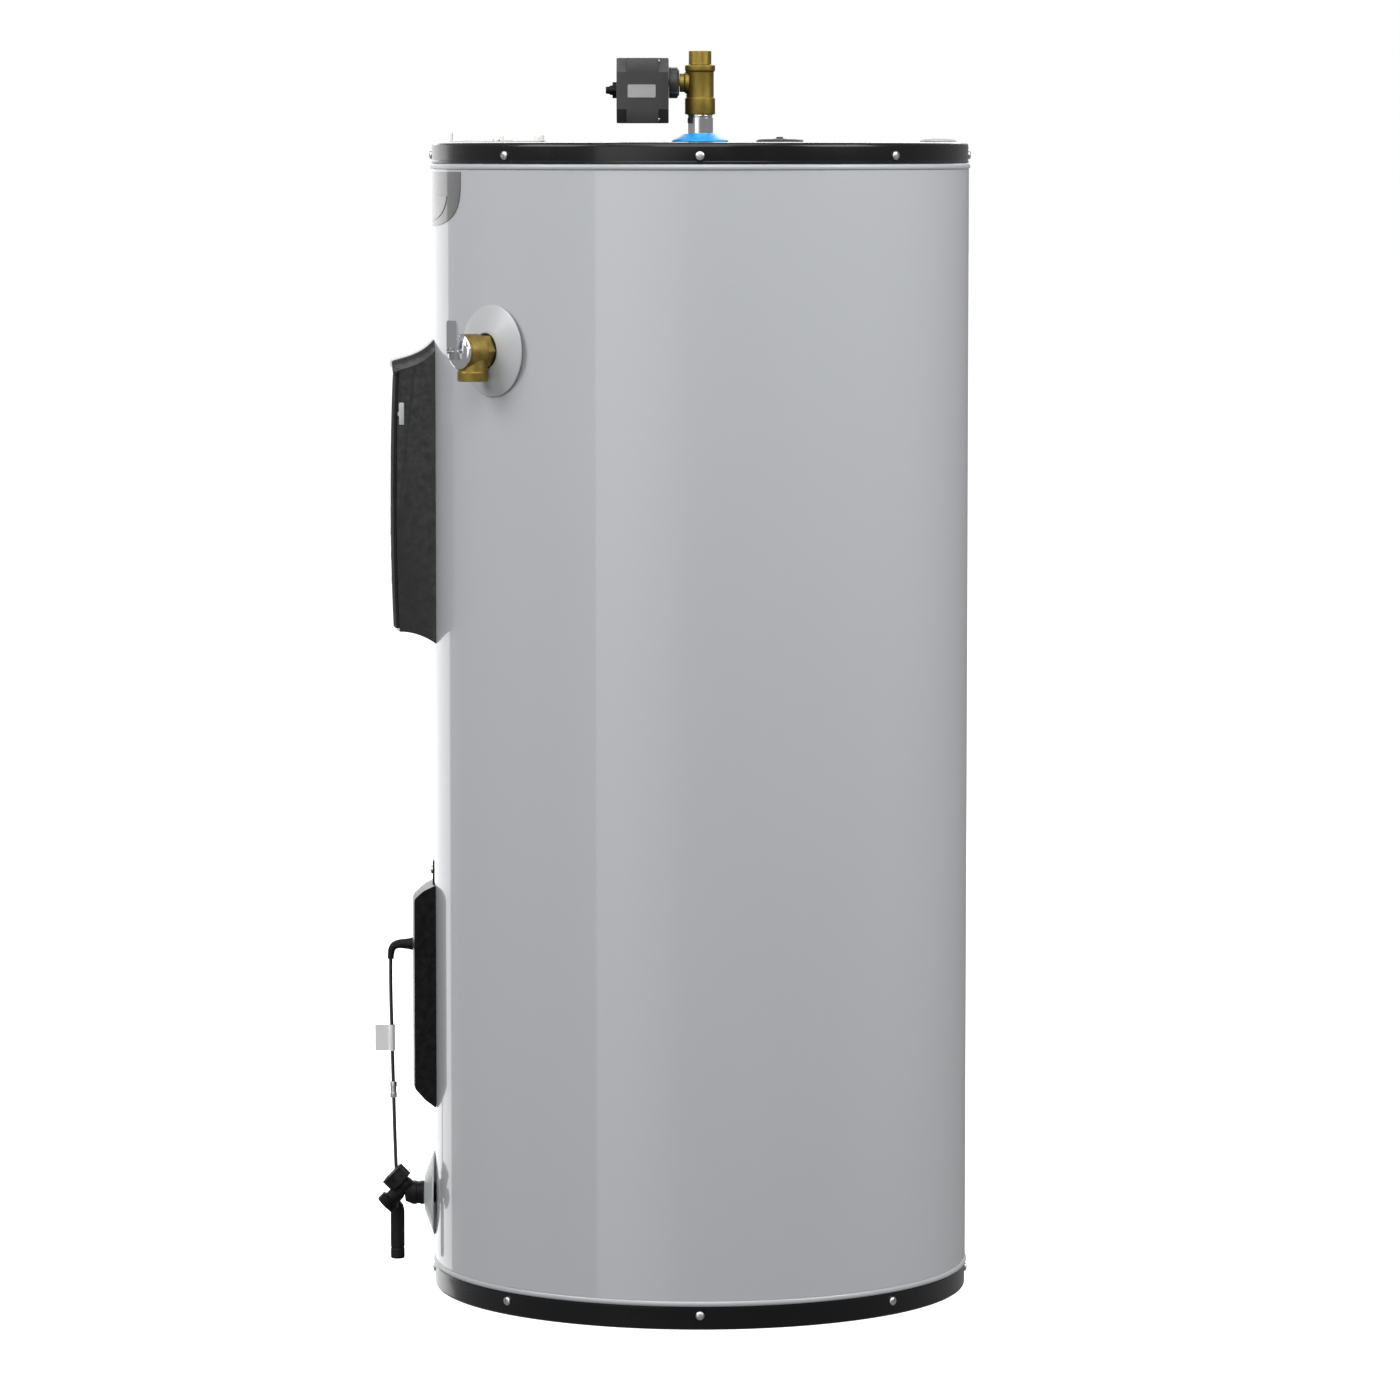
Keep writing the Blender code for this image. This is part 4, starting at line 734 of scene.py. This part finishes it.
def build_relief():
    """The temperature and pressure relief valve with its test lever."""
    at = outward(RELIEF_AZIMUTH, RELIEF_Z)
    end_rho = RELIEF_BONNET_RHO - GAP
    body_r, shank_r = 0.0176, 0.0133
    barrel = [(0.0, 0.2275), (shank_r, 0.2275)] + threads(shank_r, 0.2300, 0.2600) + [
        (shank_r, 0.2700), (shank_r, 0.2930), (0.0160, 0.2975), (0.0172, 0.2990), (0.0172, 0.3010),
        (body_r, 0.3016), (body_r, end_rho - 0.0030), (0.0169, end_rho - 0.0026), (0.0169, end_rho - 0.0020),
        (body_r, end_rho - 0.0016), (body_r, end_rho), (0.0, end_rho)]
    body = turned("relief_casting", barrel, at, 96)
    down = upright(*(at @ Vector((0.0, 0.0, RELIEF_PORT_RHO))))
    port = turned("tool", fillet([(0.0, -0.0305), (0.0158, -0.0305), (0.0158, -0.0215), (0.0152, -0.0205),
                                  (0.0152, -0.0060), (0.0, -0.0060)], 0.0008, closed=False), down, 96)
    nut = extruded("tool", hexagon(0.0310), 0.2905, 0.2990, at)
    boolean(body, "UNION", nut, port)
    boolean(body, "DIFFERENCE", drum("tool", 0.0090, 0.2200, 0.2970, at, 48),
            drum("tool", 0.0125, 0.2960, 0.34, at, 64), drum("tool", 0.0105, -0.0400, -0.0020, down, 64))
    finish_piece(body, "brass", stands_for=("relief_valve_body",), bevel=0.0003)

    base = RELIEF_BONNET_RHO
    dome = [(0.0178, base), (0.0179, base + 0.0010), (0.0174, base + 0.0018)]
    for k in range(1, 7):
        dome.append((0.0172 * cos(radians(12 * k)), base + 0.0014 + 0.0042 * sin(radians(12 * k))))
    dome += [(0.0026, base + 0.0055), (0.0026, base + 0.0032), (0.0120, base + 0.0008), (0.0120, base)]
    bonnet = turned("relief_cap", dome, at, 96)
    ear_half, ear_top = 0.0006, RELIEF_PIVOT_RHO + 0.0014
    ears = [
        box("tool", (x - ear_half, -0.0086, base + 0.0034), (x + ear_half, 0.0030, ear_top), at, 0.0003)
        for x in (-0.0050, 0.0050)
    ]
    boolean(bonnet, "UNION", *ears)
    pivot = at @ Matrix.Translation((0.0, 0.0, RELIEF_PIVOT_RHO)) @ Matrix.Rotation(pi / 2, 4, "Y")
    boolean(bonnet, "DIFFERENCE", drum("tool", 0.0013, -0.02, 0.02, pivot, 24))
    finish_piece(bonnet, "chrome", stands_for=("relief_valve_bonnet",), sharp=35.0)

    hinge = at @ Matrix.Translation((0.0, 0.0, RELIEF_PIVOT_RHO))
    half, blade_low, blade_high = 0.0081, 0.0038, 0.0315
    outline = fillet([(-half, blade_low), (half, blade_low), (half, blade_high), (-half, blade_high)], 0.0032,
                     steps=5)
    lever = extruded("relief_lever_blade", outline, 0.0014, 0.0024, hinge)
    flank = fillet([(-0.0022, -0.0022), (0.0036, -0.0022), (0.0290, 0.0006), (0.0290, 0.0022),
                    (-0.0022, 0.0022)], 0.0015, steps=4)
    sides = ((-half, -0.0070), (0.0070, half))
    boolean(lever, "UNION", *(extruded("tool", flank, near, far, hinge @ FACING_X) for near, far in sides))
    boolean(lever, "DIFFERENCE", drum("tool", 0.0013, -0.02, 0.02, pivot, 24))
    finish_piece(lever, "chrome", "relief_lever", ("relief_test_lever",), bevel=0.0002)
    pin_end = [(0.0010, 0.0082), (0.0014, 0.0083), (0.0014, 0.0088), (0.0, 0.0088)]
    pin = turned("relief_pin", [(radius, -reach) for radius, reach in pin_end[::-1]] + pin_end, pivot, 24)
    finish_piece(pin, "steel", "relief_lever", ("relief_lever_pin",))

    cone = fillet([(0.0180, 0.2884), (0.0458, GAP + JACKET_R), (0.0470, GAP + JACKET_R), (0.0470, 0.2811),
                   (0.0440, 0.2822), (0.0240, 0.2889), (0.0200, 0.2897), (0.0180, 0.2897)], 0.0008)
    plate = turned("relief_wall_plate", cone, at, 96)
    finish_piece(plate, "pale_paint", stands_for=("relief_escutcheon",))
    # Painted shade: a dark rubber ring fills the gap between the shank and the wall plate, standing in for
    # the shade in that gap.
    gap_shade_outline = fillet([(0.0138, 0.2862), (0.0177, 0.2862), (0.0177, 0.2902), (0.0138, 0.2902)], 0.0012)
    finish_piece(turned("relief_gap_shade_ring", gap_shade_outline, at, 96), "rubber")


def build_drain():
    """The drain valve: body, hose collar, knob and escutcheon."""
    axis = outward(FRONT, DRAIN_Z)
    hub = outward(FRONT, DRAIN_HUB[0]) @ Matrix.Translation((0.0, 0.0, DRAIN_HUB[1]))
    knob_at = hub @ Matrix.Rotation(radians(-45.0), 4, "X")
    spout_at = hub @ Matrix.Rotation(radians(45.0), 4, "X")
    shank_r, flange_r = 0.0105, 0.0126
    barrel = [(0.0, 0.2280), (shank_r, 0.2280)] + threads(shank_r, 0.2300, 0.2560) + [
        (shank_r, 0.2912), (flange_r, 0.2918), (flange_r, 0.2950), (0.0119, 0.2956), (0.0119, 0.2990),
        (flange_r, 0.2996), (flange_r, 0.3036), (0.0118, 0.3050), (0.0095, 0.3110), (0.0, 0.3130)]
    body = turned("drain_casting", barrel, axis)
    ball = ball_profile(0.0098, range(-75, 90, 15))
    spout = [(0.0, 0.0), (0.0082, 0.0), (0.0080, 0.0190), (0.0098, 0.0200)]
    spout += threads(0.0112, 0.0202, 0.0290, 0.0022) + [(0.0104, 0.0298), (0.0, 0.0298)]
    boolean(body, "UNION", turned("tool", ball, hub), turned("tool", spout, spout_at))
    boolean(body, "DIFFERENCE", drum("tool", 0.0055, 0.2200, 0.3150, axis, 32),
            drum("tool", 0.0055, 0.0, 0.0400, spout_at, 32),
            drum("tool", 0.0040, -0.0010, 0.0200, knob_at, 32))
    finish_piece(body, "black_plastic", stands_for=("drain_valve_body",))

    knob_r, rib, ribs = 0.0130, 0.0009, 8
    outline = []
    for k in range(96):
        angle = k * tau / 96
        radius = knob_r + rib * (0.5 + 0.5 * cos(ribs * angle)) ** 0.6
        outline.append((radius * cos(angle), radius * sin(angle)))
    knob = extruded("drain_knob_cap", outline, 0.0052, 0.0193, knob_at)
    boolean(knob, "DIFFERENCE", drum("tool", 0.0039, 0.0, 0.0188, knob_at, 32),
            drum("tool", 0.0108, 0.0, 0.0104, knob_at, 64),
            turned("tool", [(0.0062, 0.0183), (0.0098, 0.0183), (0.0104, 0.0210), (0.0056, 0.0210)], knob_at))
    finish_piece(knob, "black_plastic", "drain_knob", ("drain_valve_knob",), bevel=0.0006)
    cone = fillet([(0.0129, 0.2898), (0.0430, GAP + JACKET_R), (0.0444, GAP + JACKET_R), (0.0444, 0.2811),
                   (0.0415, 0.2822), (0.0190, 0.2905), (0.0150, 0.2912), (0.0129, 0.2912)], 0.0008)
    plate = turned("drain_wall_plate", cone, axis, 96)
    finish_piece(plate, "pale_paint", stands_for=("drain_escutcheon",))


def cover_front(z):
    """The bulging front of the upper cover, as a radius at a height."""
    return COVER_FRONT_RHO - 0.0028 * ((z - 0.8250) / 0.1320) ** 2


def sector(name, profile, half_angle, steps):
    """A profile swept to both sides of the front about the tank's axis."""
    start = Matrix.Rotation(FRONT - half_angle, 4, "Z")
    return turned(name, profile, start, steps, 2 * half_angle)


def build_upper_cover():
    """The control housing: shell, fascia, display, buttons and the side port cover."""
    rear = JACKET_R + GAP
    wall = [(cover_front(z) - 0.0032, z) for z in (0.6935 + 0.2705 * k / 16 for k in range(17))]
    brow = [(COVER_FRONT_RHO - 0.0002, 0.9680), (COVER_FRONT_RHO - 0.0002, 0.9730),
            (COVER_FRONT_RHO - 0.0017, 0.9750)]
    top, foot = [], []
    edge_rho, edge_z = brow[-1]
    for k in range(1, 15):
        t = k / 14
        top.append((edge_rho + (rear - edge_rho) * t, edge_z + 0.0210 * (0.55 * t + 0.45 * t ** 4)))
    for k in range(9, 0, -1):
        t = k / 9
        foot.append((wall[0][0] + (rear - wall[0][0]) * t, wall[0][1] - 0.0130 * t ** 2))
    cover = sector("control_cover", foot + wall + brow + top, UPPER_COVER_HALF, 32)
    for vert in cover.data.vertices:
        angle = abs(Vector((vert.co.x, vert.co.y)).angle_signed(Vector((0.0, -1.0))))
        near_side = max(0.0, 1.0 - (UPPER_COVER_HALF - angle) / CROWN_BEVEL)
        if vert.co.z > 0.9660:
            vert.co.z -= CROWN_DROP * near_side ** 1.4
    hollow_half = UPPER_COVER_HALF - asin(COVER_WALL / rear)
    inside = [(rear - 0.0100, 0.7000)]
    inside += [(cover_front(z) - 0.0054, z) for z in (0.7000, 0.7650, 0.8250, 0.8850, 0.9500)]
    inside += [(rear - 0.0100, 0.9500)]
    port_at = outward(FRONT, 0.9200)
    boolean(cover, "DIFFERENCE", sector("tool", inside, hollow_half, 24),
            box("tool", (-0.0320, -0.3400, 0.7250), (0.0320, -0.3000, 0.9050)),
            box("tool", (0.0500, -0.0118, 0.3062), (0.0700, 0.0118, 0.3122), port_at))
    finish_piece(cover, "cover_plastic", stands_for=("upper_cover",), sharp=24.0, bevel=0.0007)
    middle = port_at @ Vector((0.0580, 0.0, 0.3092))
    port = box("side_port_shutter", (-0.0030, -0.0027, -0.0115), (0.0030, 0.0027, 0.0115),
               Matrix.Translation(middle), 0.0006)
    boolean(port, "UNION", box("tool", (-0.0010, -0.0040, -0.0022), (0.0024, -0.0020, 0.0018),
                               Matrix.Translation(middle), 0.0004))
    finish_piece(port, "pale_plastic", stands_for=("side_port_cover",))

    zs = [0.6970 + 0.2700 * k / 16 for k in range(17)]
    profile = [(cover_front(z) - 0.0029, z) for z in zs] + [(cover_front(z), z) for z in zs[::-1]]
    fascia = sector("control_fascia", profile, UPPER_COVER_HALF * 0.975, 32)
    tools = [box("tool", (-0.0250, -0.3400, 0.8200), (0.0250, -0.3000, 0.8700), edge=0.0020)]
    tools += [drum("tool", 0.0064, 0.3000, 0.3400, outward(FRONT, z), 48) for z, _ in BUTTONS.values()]
    boolean(fascia, "DIFFERENCE", *tools)
    finish_piece(fascia, "fascia_plastic", stands_for=("upper_cover_fascia",), sharp=30.0, bevel=0.0005)
    lens = box("display_lens", (-0.0247, -0.3225, 0.8203), (0.0247, -0.3195, 0.8697), edge=0.0008)
    finish_piece(lens, "glass", stands_for=("display_window",))
    for name, (height, body) in BUTTONS.items():
        front = cover_front(height)
        profile = fillet([(0.0, front - 0.0070), (0.0078, front - 0.0070), (0.0078, front - 0.0050),
                          (0.0060, front - 0.0050), (0.0060, front - 0.0002), (0.0050, front + 0.0005),
                          (0.0030, front + 0.0003), (0.0, front + 0.0001)], 0.0004, closed=False)
        key = turned(name + "_cap", profile, outward(FRONT, height), 48)
        finish_piece(key, "pale_plastic", body, (name,))


def build_lower_cover():
    """The cover over the lower element, its tab and its screw."""
    rear, front = JACKET_R + GAP, 0.3022
    outer = fillet([(rear, 0.1905), (0.2912, 0.1994), (front, 0.2118), (front, 0.4115), (0.2925, 0.4201),
                    (rear, 0.4260)], 0.0030, closed=True, steps=4)
    cover = sector("element_cover", outer, LOWER_COVER_HALF, 24)
    inside = [(rear - 0.0100, 0.2100), (0.2880, 0.2100), (front - 0.0022, 0.2150), (front - 0.0022, 0.4080),
              (0.2880, 0.4120), (rear - 0.0100, 0.4120)]
    boolean(cover, "DIFFERENCE", sector("tool", inside, LOWER_COVER_HALF - asin(COVER_WALL / rear), 24))
    tab = [(rear, 0.4200), (rear + 0.0014, 0.4200), (rear + 0.0014, 0.4480), (rear, 0.4480)]
    boolean(cover, "UNION", sector("tool", tab, radians(1.8), 6))
    finish_piece(cover, "element_plastic", stands_for=("lower_cover",), sharp=28.0, bevel=0.0008)
    at = outward(FRONT, 0.4380) @ Matrix.Translation((0, 0, rear + 0.0014))
    cross_screw("element_cover_screw", 0.0042, 0.0026, at)


def build_leak_sensor():
    """The leak sensor on its cable."""
    radii = [0.0058 * share for share in (1.30, 1.05, 0.92, 0.82, 0.74, 0.66, 0.60, 0.56)]
    elbow = swept("cable_boot", smooth_route(ELBOW_ROUTE, 3), interpolate(radii, 3))
    finish_piece(elbow, "rubber", stands_for=("cable_elbow",), sharp=50.0)

    tag_at = upright(CABLE_X, -0.3258)
    low, high = TAG_Z
    loop = drum("cable_flag", 0.0031, low, high, tag_at, 32, bore=CABLE_R + 0.0006)
    boolean(loop, "UNION", box("tool", (-0.0003, -0.0178, low), (0.0003, -0.0028, high), tag_at))
    finish_piece(loop, "paper", stands_for=("cable_tag",))
    low, high = FERRULE_Z
    shape = ((CABLE_R + 0.0006, 0.0), (0.0034, 0.0), (0.0036, 0.0006), (0.0036, 0.0050), (0.0031, 0.0056))
    profile = [(radius, low + step) for radius, step in shape]
    profile += [(radius, high - step) for radius, step in shape[::-1]]
    ferrule = turned("cable_crimp", profile, upright(CABLE_X, -0.3245), 32)
    finish_piece(ferrule, "steel", stands_for=("cable_ferrule",))
    low, high = SENSOR_Z
    profile = fillet([
        (0.0, low), (0.0064, low), (0.0074, low + 0.0012), (0.0074, low + 0.0100), (0.0070, low + 0.0106),
        (0.0070, low + 0.0122), (0.0074, low + 0.0128), (0.0074, high - 0.0060), (0.0060, high),
        (0.0034, high + 0.0030), (0.0030, high + 0.0055), (0.0, high + 0.0055),
    ], 0.0006, closed=False)
    sensor = turned("sensor_probe", profile, upright(CABLE_X, SENSOR_Y), 48)
    finish_piece(sensor, "rubber", stands_for=("leak_sensor",))

    points = smooth_route(CABLE_ROUTE, 2)
    curve = bpy.data.curves.new("sensor_lead", "CURVE")
    curve.dimensions = "3D"
    curve.bevel_depth = CABLE_R
    curve.bevel_resolution = 6
    curve.use_fill_caps = True
    spline = curve.splines.new("POLY")
    spline.points.add(len(points) - 1)
    for index, point in enumerate(points):
        spline.points[index].co = (*point, 1.0)
    curve.materials.append(LOOKS["cable"])
    lead = bpy.data.objects.new("sensor_lead", curve)
    bpy.context.collection.objects.link(lead)
    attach(lead, "root")
    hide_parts("sensor_cable")


def smooth_route(points, steps):
    """Read evenly many points from a Catmull-Rom curve through a route."""
    route = [Vector(point) for point in points]
    ends = [2 * route[0] - route[1]] + route + [2 * route[-1] - route[-2]]
    out = []
    for index in range(len(route) - 1):
        before, start, end, after = ends[index:index + 4]
        for step in range(steps):
            t = step / steps
            out.append(0.5 * (
                2 * start + (end - before) * t
                + (2 * before - 5 * start + 4 * end - after) * t ** 2
                + (3 * start - before - 3 * end + after) * t ** 3
            ))
    return out + [route[-1]]


def interpolate(values, steps):
    """Straight steps between values, as many for each as smooth_route makes."""
    out = []
    for first, second in zip(values, values[1:]):
        out += [first + (second - first) * step / steps for step in range(steps)]
    return out + [values[-1]]


# ---------------------------------------------------------------- carried-over CAD nodes

def dress_cad():
    """Give each CAD node that stays shown its material."""
    kept = {
        "steel": ["tank_shell", "tank_stand", "junction_box", "shutoff_stem", "actuator_motor",
                  "relief_valve_stem", "relief_valve_spring", "upper_element_head", "upper_heating_rod",
                  "lower_element_head", "lower_heating_rod"],
        "foam": ["insulation_foam"],
        "white_plastic": ["dip_tube", "actuator_output_gear"],
        "magnesium": ["anode_rod"],
        "chrome": ["shutoff_ball"],
        "bright_brass": ["actuator_pinion"],
        "black_plastic": ["drain_valve_stem", "high_limit_control", "lower_temperature_sensor"],
        "board": ["control_board"],
        "red_plastic": ["high_limit_reset_button"],
    }
    for look, names in kept.items():
        for name in names:
            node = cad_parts[name]
            for place in node.material_slots:
                place.material = LOOKS[look]


# ---------------------------------------------------------------- stage

def area_light(name, at, aim, size, power, card=False, spread=180.0):
    """A soft rectangular light aimed at a point; a card shows only in reflections."""
    data = bpy.data.lights.new(name, "AREA")
    data.shape = "RECTANGLE"
    data.size, data.size_y = size
    data.energy = power
    data.spread = radians(spread)
    light = bpy.data.objects.new(name, data)
    light.location = at
    light.rotation_euler = (Vector(aim) - Vector(at)).to_track_quat("-Z", "Y").to_euler()
    light.visible_diffuse = not card
    bpy.context.collection.objects.link(light)


def build_stage():
    """Floor, lights and camera."""
    bm = bmesh.new()
    bmesh.ops.create_circle(bm, cap_ends=True, segments=96, radius=60.0)
    floor = as_object("floor", bm)
    floor.location.z = -0.0002
    look = surface("floor_paint", (0.90, 0.90, 0.90), 0.75, mottle=0.01, mottle_scale=0.7, specular=0.1)
    shader = look.node_tree.nodes["Principled BSDF"]
    shader.inputs["Emission Color"].default_value = (1.0, 1.0, 1.0, 1.0)
    shader.inputs["Emission Strength"].default_value = FLOOR_GLOW
    floor.data.materials.append(look)
    floor.visible_glossy = False
    floor.visible_diffuse = False
    floor.visible_shadow = False

    world = bpy.data.worlds.new("studio")
    bpy.context.scene.world = world
    world.use_nodes = True
    nodes, links = world.node_tree.nodes, world.node_tree.links
    nodes["Background"].inputs["Color"].default_value = (1.0, 1.0, 1.0, 1.0)
    direction = nodes.new("ShaderNodeTexCoord")
    parts = nodes.new("ShaderNodeSeparateXYZ")
    links.new(direction.outputs["Generated"], parts.inputs["Vector"])
    level = nodes.new("ShaderNodeMapRange")
    level.interpolation_type = "SMOOTHSTEP"
    for key, number in zip(RANGE_SOCKETS, (-0.7, 0.6, *AMBIENT)):
        level.inputs[key].default_value = number
    links.new(parts.outputs["Y"], level.inputs["Value"])
    links.new(level.outputs["Result"], nodes["Background"].inputs["Strength"])
    seen = nodes.new("ShaderNodeBackground")
    seen.inputs["Color"].default_value = (1.0, 1.0, 1.0, 1.0)
    seen.inputs["Strength"].default_value = 1.0
    path = nodes.new("ShaderNodeLightPath")
    mix = nodes.new("ShaderNodeMixShader")
    links.new(path.outputs["Is Camera Ray"], mix.inputs["Fac"])
    links.new(nodes["Background"].outputs["Background"], mix.inputs[1])
    links.new(seen.outputs["Background"], mix.inputs[2])
    links.new(mix.outputs["Shader"], nodes["World Output"].inputs["Surface"])

    middle = (0.0, 0.0, 0.65)
    area_light("band_card", (4.2, -1.78, 0.45), (1.27, 0.94, -0.62), (3.2, 3.4), 13.5, card=True,
               spread=84.0)
    area_light("edge_card", (-4.08, -1.92, 0.45), middle, (3.35, 3.4), 47.0, card=True)
    area_light("back_card", (-4.2, -0.4, 3.0), (0.0, -0.4, 1.1), (3.4, 3.0), 48.0, card=True)
    area_light("top_card", (1.4, -0.2, 3.7), (0.0, -0.2, 1.1), (2.6, 2.6), 60.0, card=True)
    area_light("left_light", (1.2, -3.0, 2.9), middle, (2.0, 2.0), 74.0)
    area_light("middle_light", (3.3, -0.2, 2.9), middle, (2.0, 2.0), 50.0)
    area_light("right_light", (1.5, 2.9, 2.9), middle, (2.0, 2.0), 92.0)
    area_light("rear_light", (-3.2, 0.4, 2.9), middle, (2.4, 2.0), 50.0)

    data = bpy.data.cameras.new("camera")
    data.sensor_width = 36.0
    data.lens = 162.08
    data.clip_end = 200.0
    camera = bpy.data.objects.new("camera", data)
    camera.location = (6.59, 0.0, 1.2044)
    camera.rotation_euler = (radians(90.0 - 5.094), 0.0, radians(90.0))
    bpy.context.collection.objects.link(camera)
    bpy.context.scene.camera = camera
    bpy.context.scene.view_settings.view_transform = "Standard"


build_stage()
build_leak_sensor()
build_shell()
build_top()
build_shutoff()
build_relief()
build_drain()
build_upper_cover()
build_lower_cover()
dress_cad()
